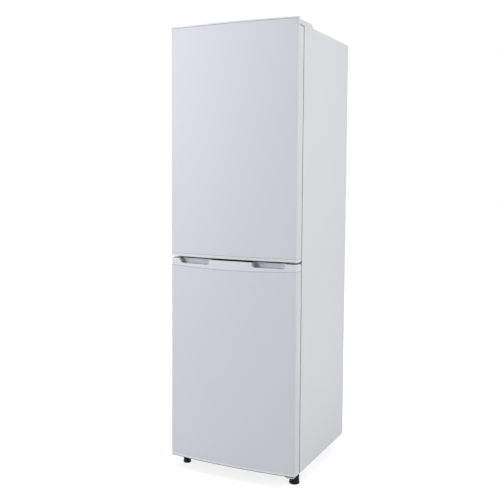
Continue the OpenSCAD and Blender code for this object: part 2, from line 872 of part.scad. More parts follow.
module compressor() {
    foot_t = 3;
    waist = pot_h * 0.46;
    dome = 34;
    bowl = 26;
    color(black_plastic) at_front() translate([pot_x, pot_y, pot_z]) difference() {
        union() {
            translate([0, 0, 0]) rotate_extrude($fn = 64)
                polygon(concat(
                    [[0, 0]],
                    arc([pot_r - 2 - bowl, bowl], bowl, -90, 0, 8),
                    [[pot_r - 2, waist - 3], [pot_r + 3, waist - 3], [pot_r + 3, waist + 3]],
                    arc([pot_r - 1 - dome, pot_h - dome], dome, 0, 90, 8),
                    [[0, pot_h]]
                ));
            // Feet that sit on the grommets
            for (sy = [-1, 1])
                along_z(0, foot_t) translate([0, sy * leg_y])
                    polygon(round_rect([-leg_x - 11, -11], [leg_x + 11, 11], 8, 5));
            // Stubs that the pipes are brazed to
            for (p = [[-30, 70], [18, 34], [-4, 48]])
                translate([p[0], pot_r - 24, p[1]]) rotate([-90, 0, 0]) cylinder(h = 26, r = 4.2, $fn = 32);
            // Terminal neck towards the relay
            translate([pot_r - 8, 0, waist + 26]) rotate([0, 90, 0]) cylinder(h = 14, r = 18, $fn = 40);
        }
        for (sx = [-1, 1])
            for (sy = [-1, 1])
                translate([sx * leg_x, sy * leg_y, -past])
                    cylinder(h = foot_t + 2 * past, r = 6 + snug, $fn = 32);
    }
}

module compressor_grommets() {
    color([0.16, 0.16, 0.17]) at_front()
        for (sx = [-1, 1])
            for (sy = [-1, 1])
                translate([pot_x + sx * leg_x, pot_y + sy * leg_y, deck_z])
                    rotate_extrude($fn = 40)
                        polygon([
                            [0, -deck_t - 2], [6, -deck_t - 2], [6, 0], [10, 0], [10, grommet_h],
                            [6, grommet_h], [6, grommet_h + 4], [8, grommet_h + 4],
                            [8, grommet_h + 6], [0, grommet_h + 6]
                        ]);
}

module relay_cover() {
    x0 = pot_x + pot_r + 6 + butt;
    z = pot_z + pot_h * 0.46 + 26;
    color([0.12, 0.12, 0.13]) at_front() difference() {
        union() {
            along_x(x0, x0 + 34)
                polygon(round_rect([pot_y - 28, z - 24], [pot_y + 28, z + 24], 7, 4));
            along_x(x0 + 34, x0 + 37)
                polygon(round_rect([pot_y - 24, z - 20], [pot_y + 24, z + 20], 5, 4));
        }
        // Slots where the wires enter
        for (y = [-12, 0, 12])
            span([x0 + 8, pot_y + y - 3, z - 24 - past], [x0 + 26, pot_y + y + 3, z - 18]);
    }
}

// Suction line, discharge line and the stub used to charge the compressor
suction = [
    [pot_x - 30, pot_y + pot_r + 2.2, pot_z + 70], [pot_x - 30, cabinet_d - 20, pot_z + 70],
    [-half_w + 40, cabinet_d - 26, pot_z + 70], [-half_w + 40, cabinet_d - 34, niche_z - sheet_t - 0.2]
];
discharge = [
    [pot_x + 18, pot_y + pot_r + 2.2, pot_z + 34], [pot_x + 18, cabinet_d - 18, pot_z + 34],
    [half_w - 70, cabinet_d - 24, pot_z + 34], [half_w - 70, cabinet_d - 30, niche_z - sheet_t - 0.2]
];
charge_stub = [
    [pot_x - 4, pot_y + pot_r + 2.2, pot_z + 48], [pot_x - 4, pot_y + pot_r + 14, pot_z + 48],
    [pot_x + 10, pot_y + pot_r + 20, pot_z + 76]
];

module refrigerant_pipes() {
    color([0.72, 0.42, 0.26]) at_front() {
        swept(smooth_route(suction, 16), pipe_d / 2);
        swept(smooth_route(discharge, 14), pipe_d / 2 - 0.6);
        swept(smooth_route(charge_stub, 10), pipe_d / 2);
    }
}

module filter_drier() {
    r = 9;
    color([0.72, 0.42, 0.26]) at_front()
        translate([half_w - 38, cabinet_d - 52, niche_z - sheet_t - 0.2]) mirror([0, 0, 1])
            rotate_extrude($fn = 40)
                polygon([
                    [0, 0], [2.2, 0], [2.2, 14], [r, 24], [r, 84], [3.2, 96], [3.2, 106], [0, 106]
                ]);
}

module drip_tray() {
    t = 1.8;
    y0 = pot_y - pot_r;
    y1 = cabinet_d - 12;
    x0 = pot_x - pot_r - 4;
    x1 = pot_x + pot_r + 14;
    color([0.20, 0.20, 0.22]) at_front() difference() {
        union() {
            along_z(tray_z, tray_z + tray_h) polygon(round_rect([x0, y0], [x1, y1], 14, 5));
            along_z(tray_z + tray_h - 2, tray_z + tray_h)
                polygon(round_rect([x0 - 3, y0 - 3], [x1 + 3, y1 + 3], 17, 5));
        }
        along_z(tray_z + t, tray_z + tray_h + past)
            polygon(round_rect([x0 + t, y0 + t], [x1 - t, y1 - t], 14 - t, 5));
    }
}

module drain_tube() {
    color(white_plastic) at_front() difference() {
        intersection() {
            drain_path(-snug);
            span([-60, inside_d + liner_t - past, tray_z + 6], [60, cabinet_d, fridge_z0 + 40]);
        }
        translate([-20, cabinet_d - 23, 0]) cylinder(h = fridge_z0 + 14, r = 4, $fn = 32);
        translate([-20, 0, fridge_z0 + 14]) rotate([-90, 0, 0]) cylinder(h = cabinet_d - 23, r = 3, $fn = 32);
    }
}

// Fridge compartment

module fridge_shelf(top) {
    color(glass_green) at_front()
        along_z(top + 0.1, top + 0.1 + glass_t)
            polygon(round_rect([-shelf_w, shelf_front + trim_d * 0.4],
                               [shelf_w, shelf_front + shelf_d - trim_d * 0.3], 3, 3));
}

// Trims clip on the front and rear edges of the shelves and of the crisper's cover
module shelf_trims() {
    front = shelf_front + trim_d * 0.4;
    rear = shelf_front + shelf_d - trim_d * 0.3;
    clip = glass_t + 2 * snug;
    color(white_plastic) at_front()
        for (top = concat([cover_z], shelf_heights))
            translate([0, 0, top + 0.1]) {
                along_x(-shelf_w + ledge_w + 1, shelf_w - ledge_w - 1)
                    polygon(concat(
                        [[front + trim_d * 0.6, -2], [front + trim_d * 0.6, -snug], [front - snug, -snug]],
                        [[front - snug, clip - snug], [front + trim_d * 0.6, clip - snug]],
                        [[front + trim_d * 0.6, glass_t + 2]],
                        arc([front - 2, glass_t / 2], glass_t / 2 + 2, 90, 270, 8)
                    ));
                along_x(-shelf_w + ledge_w + 1, shelf_w - ledge_w - 1)
                    polygon([
                        [rear + 3, -1.5], [rear + 3, glass_t + 9], [rear + snug, glass_t + 9],
                        [rear + snug, -snug], [rear - 10, -snug], [rear - 10, -1.5]
                    ]);
            }
}

module crisper_cover() {
    fridge_shelf(cover_z);
}

// An open tub with a thicker rim; half is its half width
module tub(half, y0, y1, z0, z1, r0, r1) {
    difference() {
        union() {
            along_z(z0, z1) polygon(tub_outline(half, y0, y1, r0, r1));
            along_z(z1 - 4, z1) polygon(tub_outline(half + 2, y0, y1 + 2, r0, r1 + 2));
        }
        along_z(z0 + tub_t, z1 + past)
            polygon(tub_outline(half - tub_t, y0 + tub_t, y1 - tub_t, max(r0 - tub_t, 1), r1 - tub_t));
    }
}

module crisper() {
    z0 = fridge_z0 + slide_clear;
    z1 = z0 + crisper_h - 4;
    y0 = crisper_front;
    color(clear_plastic) at_front() difference() {
        union() {
            tub(floor_half, y0, y0 + crisper_d, z0, z1, 6, 14);
            // Front panel, wider than the tub
            along_y(y0 - panel_t, y0 + tub_t / 2)
                polygon(round_rect([-crisper_w, z0], [crisper_w, z0 + crisper_h], liner_r - 3, 6));
            // Ledge that the fingers pull
            along_x(-crisper_w * 0.55, crisper_w * 0.55)
                polygon([
                    [y0 - panel_t, z1 - 10], [y0 - panel_t - 9, z1 - 4], [y0 - panel_t - 9, z1 - 1],
                    [y0 - panel_t, z1 - 3]
                ]);
        }
    }
}

// Control housing under the ceiling, with the lamp beside the dial

module control_housing() {
    x = control_w / 2;
    color(white_plastic) at_front() difference() {
        along_x(-x, x)
            polygon(concat(
                [[control_y + control_d, control_z + 8], [control_y + control_d, fridge_z1]],
                [[control_y, fridge_z1]],
                arc([control_y + 6, control_z + 6], 6, 180, 270, 5)
            ));
        // Well for the lamp's cover
        along_z(control_z - past, control_z + 22)
            polygon(round_rect([-x + 12, control_y + 16], [-4, control_y + control_d - 22], 8, 4));
        translate([dial_x, control_y - past, dial_z]) rotate([-90, 0, 0])
            cylinder(h = 16 + past, r = dial_shaft_d / 2 + turn_clear, $fn = 40);
        // Shallow dish round the dial
        translate([dial_x, control_y - past, dial_z]) rotate([-90, 0, 0])
            cylinder(h = 1.2 + past, r = dial_d / 2 + 0.8, $fn = 64);
    }
}

module lamp_cover() {
    x0 = -control_w / 2 + 12 + butt;
    x1 = -4 - butt;
    y0 = control_y + 16 + butt;
    y1 = control_y + control_d - 22 - butt;
    color([0.97, 0.97, 0.92, 0.8]) at_front() difference() {
        along_z(control_z - 3, control_z + 14) polygon(round_rect([x0, y0], [x1, y1], 8 - butt, 4));
        along_z(control_z - 1.2, control_z + 14 + past)
            polygon(round_rect([x0 + 1.6, y0 + 1.6], [x1 - 1.6, y1 - 1.6], 6, 4));
    }
}

module temperature_dial() {
    n = 24;
    r = dial_d / 2;
    color(white_plastic) at_front() translate([dial_x, control_y + 1, dial_z]) rotate([90, 0, 0]) difference() {
        union() {
            difference() {
                cylinder(h = dial_t, r = r, $fn = 72);
                // Grip flutes round the rim
                for (i = [0:n - 1])
                    rotate([0, 0, i * 360 / n]) translate([r + 0.7, 0, 3])
                        cylinder(h = dial_t, r = 1.5, $fn = 16);
            }
            translate([0, 0, -14]) cylinder(h = 15, r = dial_shaft_d / 2, $fn = 40);
        }
        // Pointer groove
        span([-0.8, r * 0.25, dial_t - 0.8], [0.8, r + past, dial_t + past]);
    }
}

// Freezer compartment

module freezer_shelf(top, y1) {
    color(glass_green) at_front()
        along_z(top + 0.1, top + 0.1 + glass_t)
            polygon(round_rect([-shelf_w, drawer_front + 6], [shelf_w, y1], 3, 3));
}

module freezer_shelf_1() { freezer_shelf(freezer_shelf_z1, inside_d - 8); }
module freezer_shelf_2() { freezer_shelf(freezer_shelf_z2, inside_d - 8); }

// A pull-out drawer with a panel in front and a grip slot with a hood behind it
module freezer_drawer(z0, h, depth, half = drawer_w - 8) {
    y0 = drawer_front + panel_t;
    body_top = z0 + h - 14;
    slot_z = z0 + h - 16 - grip_h;
    color(clear_plastic) at_front() difference() {
        union() {
            difference() {
                union() {
                    tub(half, y0 - tub_t / 2, y0 + depth - panel_t, z0, body_top, 3, 18);
                    along_y(drawer_front, y0)
                        polygon(round_rect([-drawer_w, z0], [drawer_w, z0 + h], liner_r * 0.7, 6));
                }
            }
            // Hood behind the grip slot
            span([-grip_w / 2 - tub_t, y0 - past * 0.5, slot_z - tub_t],
                 [grip_w / 2 + tub_t, y0 + 20, slot_z + grip_h + tub_t]);
        }
        span([-grip_w / 2, drawer_front - past, slot_z], [grip_w / 2, y0 + 20 - tub_t, slot_z + grip_h]);
    }
}

module freezer_drawer_1() {
    freezer_drawer(freezer_z0 + slide_clear, low_drawer_h, low_drawer_d, floor_half);
}

module freezer_drawer_2() {
    freezer_drawer(freezer_shelf_z1 + 0.1 + glass_t + slide_clear, drawer_h, drawer_d);
}

module freezer_drawer_3() {
    freezer_drawer(freezer_shelf_z2 + 0.1 + glass_t + slide_clear, drawer_h, drawer_d);
}

// Feet and rollers

module levelling_foot(x, r) {
    ribs = 16;
    color(black_plastic) at_front() translate([x, foot_back, 0]) union() {
        difference() {
            rotate_extrude($fn = 64)
                polygon([
                    [0, 0], [r - 1.5, 0], [r, 1.5], [r, 6], [r - 1.2, 7], [r - 1.2, foot_h - 4],
                    [r - 3, foot_h], [0, foot_h]
                ]);
            for (i = [0:ribs - 1])
                rotate([0, 0, i * 360 / ribs]) translate([r - 0.6, 0, 9])
                    cylinder(h = foot_h, r = 1.3, $fn = 16);
        }
        translate([0, 0, foot_h - past]) cylinder(h = stem_len + past, r = stem_d / 2, $fn = 48);
    }
}

module levelling_foot_left() { levelling_foot(-half_w + foot_in, foot_d / 2); }
module levelling_foot_right() { levelling_foot(half_w - foot_in, hinge_foot_d / 2); }

module rear_roller(x) {
    r = roller_d / 2;
    w = roller_w / 2;
    color(black_plastic) at_front() translate([x, roller_y, r]) rotate([0, 90, 0]) difference() {
        rotate_extrude($fn = 72)
            polygon([
                [0, -w], [9, -w], [10, -w + 3], [r - 5, -w + 3], [r - 4, -w + 1], [r - 1, -w + 1],
                [r, -w + 2], [r, w - 2], [r - 1, w - 1], [r - 4, w - 1], [r - 5, w - 3],
                [10, w - 3], [9, w], [0, w]
            ]);
        translate([0, 0, -w - past]) cylinder(h = roller_w + 2 * past, r = axle_d / 2 + turn_clear, $fn = 48);
    }
}

module rear_roller_left() { rear_roller(-roller_x); }
module rear_roller_right() { rear_roller(roller_x); }

module roller_axles() {
    half = roller_w / 2 + 4.5;
    color(steel_grey) at_front() both_sides()
        translate([roller_x, roller_y, roller_d / 2]) rotate([0, 90, 0]) {
            translate([0, 0, -half]) cylinder(h = 2 * half, r = axle_d / 2, $fn = 48);
            translate([0, 0, half - 1.6]) cylinder(h = 1.6, r = axle_d / 2 + 2.5, $fn = 32);
            translate([0, 0, -half]) cylinder(h = 1.6, r = axle_d / 2 + 2.5, $fn = 32);
        }
}

// Doors

// The painted skin: front, sides and narrow returns behind, open at the top and bottom
module skin_shell(z0, z1) {
    back_return = 9;
    difference() {
        along_z(z0, z1) polygon(door_outline(0));
        along_z(z0 - past, z1 + past) polygon(door_outline(sheet_t));
        span([-half_w + back_return, -door_gap - 3 * sheet_t, z0 - past],
             [half_w - back_return, -door_gap + past, z1 + past]);
    }
}

// Everything within a band at each side of the door
module side_bands(w, z0, z1) {
    both_sides() span([half_w - w, -door_gap - door_edge - crown - past, z0], [half_w + past, past, z1]);
}

module fridge_door_skin() {
    color(white_paint) at_front() difference() {
        skin_shell(fridge_bottom + bottom_cap_h, fridge_top - top_lip);
        side_bands(4 + seam, fridge_top - top_cap_h - seam, fridge_top + past);
        span([-half_w, -door_gap - 2 * sheet_t, fridge_top - top_cap_h - seam], [half_w, past, fridge_top]);
    }
}

// Slope of the top cap, as a solid to keep
module cap_slope() {
    y0 = -door_gap - door_edge;
    along_x(-half_w - past, half_w + past)
        polygon([
            [y0 - crown - past, cap_base - past], [past, cap_base - past],
            [past, fridge_top - cap_fall], [y0 + 27, fridge_top - cap_fall],
            [y0 + 3, fridge_top], [y0 - crown - past, fridge_top]
        ]);
}

// The corner that the top hinge's cover and arm sit in
module hinge_notch() {
    span([pin_x - notch_side, pin_y - notch_front, notch_z],
         [half_w + past, past, fridge_top + past]);
}

module fridge_door_top_cap() {
    lip_z = fridge_top - top_lip;
    color(white_plastic) at_front() difference() {
        intersection() {
            union() {
                difference() {
                    union() {
                        along_z(lip_z, fridge_top) polygon(door_outline(0));
                        along_z(cap_base, lip_z + seam) polygon(door_outline(sheet_t + snug));
                        intersection() {
                            along_z(fridge_top - top_cap_h, fridge_top) polygon(door_outline(0));
                            side_bands(4, fridge_top - top_cap_h, fridge_top + past);
                        }
                    }
                    along_z(cap_base - past, fridge_top - cap_fall - cap_t)
                        polygon(door_outline(sheet_t + snug + cap_t));
                }
                // Tray of the hinge corner
                span([pin_x - notch_side - cap_t, pin_y - notch_front - cap_t, cap_base],
                     [half_w - 2, -door_gap - 1, fridge_top - cap_fall]);
                translate([pin_x, pin_y, notch_z - bush_len - 2])
                    cylinder(h = bush_len + 2, r = bush_r + 2, $fn = 48);
            }
            union() {
                cap_slope();
                translate([pin_x, pin_y, notch_z - bush_len - 3])
                    cylinder(h = bush_len + 3, r = bush_r + 3, $fn = 48);
            }
        }
        hinge_notch();
        translate([pin_x, pin_y, notch_z - bush_len])
            cylinder(h = bush_len + past, r = bush_r + snug, $fn = 48);
    }
}

// Cut that clears a door liner's edge out of a cap
module liner_edge_cut(z0, z1) {
    y1 = -door_gap - sheet_t - door_liner_t - snug;
    span([-half_w + sheet_t + snug, y1, z0], [half_w - sheet_t - snug, past, z1]);
}

// Ring that plugs a cap into the skin
module plug_ring(z0, z1) {
    difference() {
        along_z(z0, z1) polygon(door_outline(sheet_t + snug));
        along_z(z0 - past, z1 + past) polygon(door_outline(sheet_t + snug + cap_t));
        span([-half_w, -door_gap - sheet_t - door_liner_t - snug, z0 - past], [half_w, past, z1 + past]);
    }
}

// A door's bottom cap, with a boss for the hinge's bush
module bottom_cap(z0) {
    top = z0 + bottom_cap_h;
    color(white_plastic) at_front() difference() {
        union() {
            difference() {
                along_z(z0, top - seam) polygon(door_outline(0));
                along_z(z0 + cap_t, top + past) polygon(door_outline(cap_t));
                liner_edge_cut(z0 + 8, top + past);
            }
            plug_ring(top - 2, top + 12);
            translate([pin_x, pin_y, z0]) cylinder(h = bush_len + 2, r = bush_r + 2, $fn = 48);
        }
        // Slope under the rear edge
        along_x(-half_w - past, half_w + past)
            polygon([
                [-door_gap - 9, z0 - past], [past, z0 - past], [past, z0 + 5], [-door_gap, z0 + 5]
            ]);
        translate([pin_x, pin_y, z0 - past])
            cylinder(h = bush_len + past, r = bush_r + snug, $fn = 48);
    }
}

module fridge_door_bottom_cap() { bottom_cap(fridge_bottom); }
module freezer_door_bottom_cap() { bottom_cap(freezer_bottom); }

// Region above the grip cap's curved lower edge, moved down by drop
module above_grip_edge(drop) {
    z = freezer_top - grip_cap_h - drop;
    n = 24;
    along_y(-door_gap - door_edge - crown - past, past)
        polygon(concat(
            [
                for (i = [0:n])
                    let (x = -half_w - past + (cabinet_w + 2 * past) * i / n)
                    [x, z - grip_cap_sag * (1 - pow(x / (half_w + past), 2))]
            ],
            [[half_w + past, freezer_top + past], [-half_w - past, freezer_top + past]]
        ));
}

module freezer_door_skin() {
    color(white_paint) at_front() difference() {
        skin_shell(freezer_bottom + bottom_cap_h, freezer_top - 2);
        above_grip_edge(seam);
    }
}

// A finger pocket's outline, seen from the front
module pocket_shape(grow, up) {
    half = pocket_len / 2 + grow;
    z1 = freezer_top + up;
    z0 = freezer_top - pocket_h - grow;
    r = pocket_r + grow;
    polygon(concat(
        [[half, z1], [-half, z1]],
        arc([-half + r, z0 + r], r, 180, 270, 6),
        arc([half - r, z0 + r], r, 270, 360, 6)
    ));
}

module finger_pockets(grow, up, y1) {
    both_sides()
        translate([pocket_x, 0, 0])
            along_y(-door_gap - door_edge - crown - past, y1) pocket_shape(grow, up);
}

module freezer_door_grip_cap() {
    pocket_back = -door_gap - door_edge - crown * 0.6 + pocket_d;
    inner = sheet_t + snug + cap_t;
    color(white_plastic) at_front() difference() {
        union() {
            difference() {
                union() {
                    intersection() {
                        along_z(freezer_top - grip_cap_h - grip_cap_sag - past, freezer_top)
                            polygon(door_outline(0));
                        above_grip_edge(0);
                    }
                    plug_ring(freezer_top - grip_cap_h - grip_cap_sag - 12, freezer_top - 2);
                }
                along_z(freezer_top - 60, freezer_top - cap_t) polygon(door_outline(inner));
                liner_edge_cut(freezer_top - 60, freezer_top - 8);
            }
            // Walls of the finger pockets
            intersection() {
                finger_pockets(2, 0, pocket_back + 2);
                along_z(freezer_top - 40, freezer_top) polygon(door_outline(cap_t));
            }
            translate([pin_x, pin_y, freezer_top - bush_len - 2])
                cylinder(h = bush_len + 2, r = bush_r + 2, $fn = 48);
        }
        finger_pockets(0, past, pocket_back);
        along_x(-half_w - past, half_w + past)
            polygon([
                [-door_gap - 9, freezer_top + past], [past, freezer_top + past],
                [past, freezer_top - 5], [-door_gap, freezer_top - 5]
            ]);
        translate([pin_x, pin_y, freezer_top - bush_len])
            cylinder(h = bush_len + past, r = bush_r + snug, $fn = 48);
    }
}

// Bushes

module bush(len, flange) {
    difference() {
        union() {
            cylinder(h = len, r = bush_r, $fn = 48);
            translate([0, 0, -flange]) cylinder(h = flange, r = bush_r + 2.2, $fn = 48);
        }
        translate([0, 0, -flange - past])
            cylinder(h = len + flange + 2 * past, r = pin_r + pin_clear, $fn = 48);
    }
}

module fridge_door_bushes() {
    below = fridge_bottom - (middle_plate_z + plate_t) - flange_clear;
    color([0.88, 0.88, 0.86]) at_front() {
        translate([pin_x, pin_y, fridge_bottom]) bush(bush_len, below);
        translate([pin_x, pin_y, notch_z]) mirror([0, 0, 1]) bush(bush_len, bush_flange_t);
    }
}

module freezer_door_bushes() {
    above = middle_plate_z - freezer_top - flange_clear;
    below = freezer_bottom - (bottom_plate_z + plate_t) - flange_clear;
    color([0.88, 0.88, 0.86]) at_front() {
        translate([pin_x, pin_y, freezer_top]) mirror([0, 0, 1]) bush(bush_len, above);
        translate([pin_x, pin_y, freezer_bottom]) bush(bush_len, below);
    }
}

// Door liners: a flat sheet with a hollow plug that enters the opening
module plug_shape(inset, z0, z1, ridges) {
    half = open_w - plug_clear - inset;
    y0 = -door_gap - sheet_t - door_liner_t - (inset > 0 ? past : 0);
    along_y(y0, plug_in - inset)
        polygon(round_rect([-half, z0 + plug_clear + inset], [half, z1 - plug_clear - inset], 18 - inset, 5));
    if (ridges) both_sides()
        along_y(plug_in - inset - past, plug_in + ridge_h - inset)
            polygon(round_rect([half + 2 * inset - ridge_w, z0 + plug_clear + 8 + inset],
                               [half, z1 - plug_clear - 8 - inset], 5 - inset, 4));
}

module door_liner(z0, z1, open0, open1, ridges) {
    back = -door_gap - sheet_t;
    half = half_w - sheet_t - 2 * snug;
    difference() {
        union() {
            span([-half, back - door_liner_t, z0], [half, back, z1]);
            plug_shape(0, open0, open1, ridges);
        }
        plug_shape(door_liner_t, open0, open1, ridges);
    }
}

// Lugs on the ridges that carry a bin whose floor is at z
module bin_lugs(z) {
    ridge = open_w - plug_clear - ridge_w;
    both_sides()
        along_y(plug_in + 3, plug_in + 3 + lug_d)
            polygon([
                [ridge + 1, z + 18], [ridge - 5, z + 18], [ridge - 5, z + 18 + lug_t - 2],
                [ridge - 3.5, z + 18 + lug_t], [ridge + 1, z + 18 + lug_t]
            ]);
}

module fridge_door_liner() {
    color(liner_white) at_front() union() {
        door_liner(fridge_bottom + 8 + snug, cap_base - butt, fridge_z0, fridge_z1, true);
        bin_lugs(bottle_bin_z);
        bin_lugs(bin_z2);
        bin_lugs(bin_z3);
    }
}

module freezer_door_liner() {
    ribs = 3;
    pitch = (freezer_z1 - freezer_z0) / (ribs + 1);
    color(liner_white) at_front() union() {
        door_liner(freezer_bottom + 8 + snug, freezer_top - 8 - snug, freezer_z0, freezer_z1, false);
        for (i = [1:ribs])
            translate([0, 0, freezer_z0 + i * pitch])
                along_y(plug_in - 1, plug_in + 2.5)
                    polygon(round_rect([-open_w + 40, -7], [open_w - 40, 7], 6, 4));
    }
}

// Foam inside a door: a core between the caps, and the liner's hollow plug
module door_core(z0, z1, open0, open1, ridges) {
    back = -door_gap - sheet_t - door_liner_t;
    difference() {
        along_z(z0, z1) polygon(door_outline(sheet_t + cap_t + 0.5));
        span([-half_w, back, z0 - past], [half_w, past, z1 + past]);
    }
    intersection() {
        plug_shape(door_liner_t, open0, open1, ridges);
        span([-half_w, back, 0], [half_w, cabinet_d, fridge_top]);
    }
}

module fridge_door_foam() {
    z0 = fridge_bottom + bottom_cap_h + 13;
    color([0.93, 0.87, 0.66]) at_front() difference() {
        union() {
            door_core(fridge_bottom + 9, fridge_top - cap_fall - cap_t - 0.5, fridge_z0, fridge_z1, true);
            difference() {
                along_z(z0, cap_base - butt) polygon(door_outline(sheet_t));
                span([-half_w, -door_gap - sheet_t - door_liner_t, z0 - past], [half_w, past, cap_base]);
            }
        }
        // Room for the hinge corner and the bushes' bosses
        span([pin_x - notch_side - cap_t, pin_y - notch_front - cap_t, cap_base],
             [half_w, past, fridge_top]);
        translate([pin_x, pin_y, notch_z - bush_len - 2]) cylinder(h = 60, r = bush_r + 2, $fn = 48);
        translate([pin_x, pin_y, fridge_bottom]) cylinder(h = bush_len + 2, r = bush_r + 2, $fn = 48);
    }
}

module freezer_door_foam() {
    z0 = freezer_bottom + bottom_cap_h + 13;
    z1 = freezer_top - grip_cap_h - grip_cap_sag - 13;
    color([0.93, 0.87, 0.66]) at_front() difference() {
        union() {
            door_core(freezer_bottom + cap_t + 0.2, freezer_top - 22, freezer_z0, freezer_z1, false);
            difference() {
                along_z(z0, z1) polygon(door_outline(sheet_t));
                span([-half_w, -door_gap - sheet_t - door_liner_t, z0 - past], [half_w, past, z1 + past]);
            }
        }
        translate([pin_x, pin_y, freezer_top - bush_len - 2]) cylinder(h = 60, r = bush_r + 2, $fn = 48);
        translate([pin_x, pin_y, freezer_bottom]) cylinder(h = bush_len + 2, r = bush_r + 2, $fn = 48);
    }
}

// Gaskets: foot, bellows and magnetic head
module gasket_ring(z0, z1) {
    x = half_w - gasket_in;
    base = -door_gap - sheet_t;
    head = 3.2;
    foot = 2.2;
    module ring(out, width, y0, y1) {
        difference() {
            along_y(y0, y1) polygon(round_rect([-x + out, z0 + out], [x - out, z1 - out], 6, 4));
            along_y(y0 - past, y1 + past)
                polygon(round_rect([-x + out + width, z0 + out + width],
                                   [x - out - width, z1 - out - width], 2, 3));
        }
    }
    ring(2, gasket_w - 4, base, base + foot);
    ring(gasket_w / 2 - 3, 6, base + foot - 0.1, -gasket_clear - head + 0.1);
    ring(0, gasket_w, -gasket_clear - head, -gasket_clear);
}

module fridge_door_gasket() {
    color(seal_grey) at_front() gasket_ring(fridge_bottom + 11, cap_base - butt - 1);
}

module freezer_door_gasket() {
    color(seal_grey) at_front() gasket_ring(freezer_bottom + 11, freezer_top - 11);
}

// Door bins

module door_bin(z0, h) {
    y1 = bin_back + bin_d;
    color(clear_plastic) at_front() union() {
        difference() {
            along_z(z0, z0 + h) polygon(tub_outline(bin_half, bin_back, y1, 3, 26));
            along_z(z0 + tub_t, z0 + h + past)
                polygon(tub_outline(bin_half - tub_t, bin_back + tub_t, y1 - tub_t, 2, 26 - tub_t));
        }
        // Hooks that rest on the lugs of the door's liner
        both_sides()
            span([bin_half - tub_t / 2, plug_in + 2.5, z0 + 18 + lug_t + 0.1],
                 [bin_half + 5, plug_in + 3 + lug_d + 1, z0 + 18 + lug_t + 7]);
        // Thick rail along the front edge
        difference() {
            along_z(z0 + h - 7, z0 + h) polygon(tub_outline(bin_half, bin_back + 30, y1 + 1.6, 1, 27));
            along_z(z0 + h - 8, z0 + h + past)
                polygon(tub_outline(bin_half - tub_t, bin_back, y1 - tub_t, 2, 26 - tub_t));
        }
    }
}

module door_bin_upper() { door_bin(bin_z3, bin_h); }
module door_bin_middle() { door_bin(bin_z2, bin_h); }
module bottle_bin() { door_bin(bottle_bin_z, bottle_bin_h); }

// A rack with round holes that stands on short walls
module egg_tray() {
    pitch = egg_hole_d + 10;
    half = egg_count * pitch / 2;
    y_mid = bin_back + bin_d / 2;
    depth = egg_hole_d / 2 + 8;
    h = 14;
    color(white_plastic) at_front() difference() {
        union() {
            along_z(egg_floor + h - 3, egg_floor + h)
                polygon(round_rect([-half, y_mid - depth], [half, y_mid + depth], 6, 4));
            for (x = [-half + 2, -pitch, pitch, half - 2])
                span([x - 1, y_mid - depth + 7, egg_floor], [x + 1, y_mid + depth - 7, egg_floor + h]);
        }
        for (i = [0:egg_count - 1])
            translate([(i - (egg_count - 1) / 2) * pitch, y_mid, egg_floor - past])
                cylinder(h = h + 2 * past, r = egg_hole_d / 2, $fn = 48);
    }
}

cabinet_wrap();
rear_panel();
rear_spacers();
insulation_foam();
fridge_liner();
freezer_liner();
divider_rail();
front_rail();
base_plate();
compressor_deck();
top_hinge_bracket();
top_hinge_cover();
middle_hinge_bracket();
bottom_hinge_bracket();
hinge_screws();
compressor();
compressor_grommets();
relay_cover();
refrigerant_pipes();
filter_drier();
drip_tray();
drain_tube();
mains_gland();
control_housing();
lamp_cover();
temperature_dial();
fridge_shelf(shelf_heights[0]);  // fridge_shelf_1
fridge_shelf(shelf_heights[1]);  // fridge_shelf_2
fridge_shelf(shelf_heights[2]);  // fridge_shelf_3
shelf_trims();
crisper_cover();
crisper();
freezer_shelf_1();
freezer_shelf_2();
freezer_drawer_1();
freezer_drawer_2();
freezer_drawer_3();
levelling_foot_left();
levelling_foot_right();
rear_roller_left();
rear_roller_right();
roller_axles();
fridge_door_skin();
fridge_door_top_cap();
fridge_door_bottom_cap();
fridge_door_foam();
fridge_door_liner();
fridge_door_gasket();
fridge_door_bushes();
freezer_door_skin();
freezer_door_grip_cap();
freezer_door_bottom_cap();
freezer_door_foam();
freezer_door_liner();
freezer_door_gasket();
freezer_door_bushes();
door_bin_upper();
door_bin_middle();
bottle_bin();
egg_tray();
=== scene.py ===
"""Looks of a slim white fridge freezer: finishes, softened edges, seals, screws and studio.

Metres, in the row frame: the doors face -Y, X runs to the right, Z is up.
"""

import json
import math

import bmesh
import bpy
from mathutils import Euler, Matrix, Vector


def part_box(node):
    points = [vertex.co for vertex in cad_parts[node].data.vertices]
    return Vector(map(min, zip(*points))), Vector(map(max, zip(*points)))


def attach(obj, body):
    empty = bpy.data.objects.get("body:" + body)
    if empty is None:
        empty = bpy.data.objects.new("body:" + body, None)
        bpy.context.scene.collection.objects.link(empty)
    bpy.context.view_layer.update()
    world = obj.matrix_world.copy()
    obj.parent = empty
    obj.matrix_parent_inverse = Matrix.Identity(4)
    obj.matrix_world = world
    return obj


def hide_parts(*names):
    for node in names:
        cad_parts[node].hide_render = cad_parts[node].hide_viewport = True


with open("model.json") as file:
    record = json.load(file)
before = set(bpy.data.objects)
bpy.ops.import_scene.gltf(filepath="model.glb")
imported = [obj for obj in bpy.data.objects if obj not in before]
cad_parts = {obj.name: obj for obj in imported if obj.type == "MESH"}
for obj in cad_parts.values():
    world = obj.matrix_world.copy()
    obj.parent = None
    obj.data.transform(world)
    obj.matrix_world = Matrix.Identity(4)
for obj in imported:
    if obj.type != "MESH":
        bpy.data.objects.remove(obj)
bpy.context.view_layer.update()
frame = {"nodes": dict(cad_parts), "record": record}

MM = 0.001
# Points this near to a plane, in metres, are taken to lie on it
NEAR = 2e-5
# The cabinet's front face along Y, in metres
FACE_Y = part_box("cabinet_wrap")[0].y
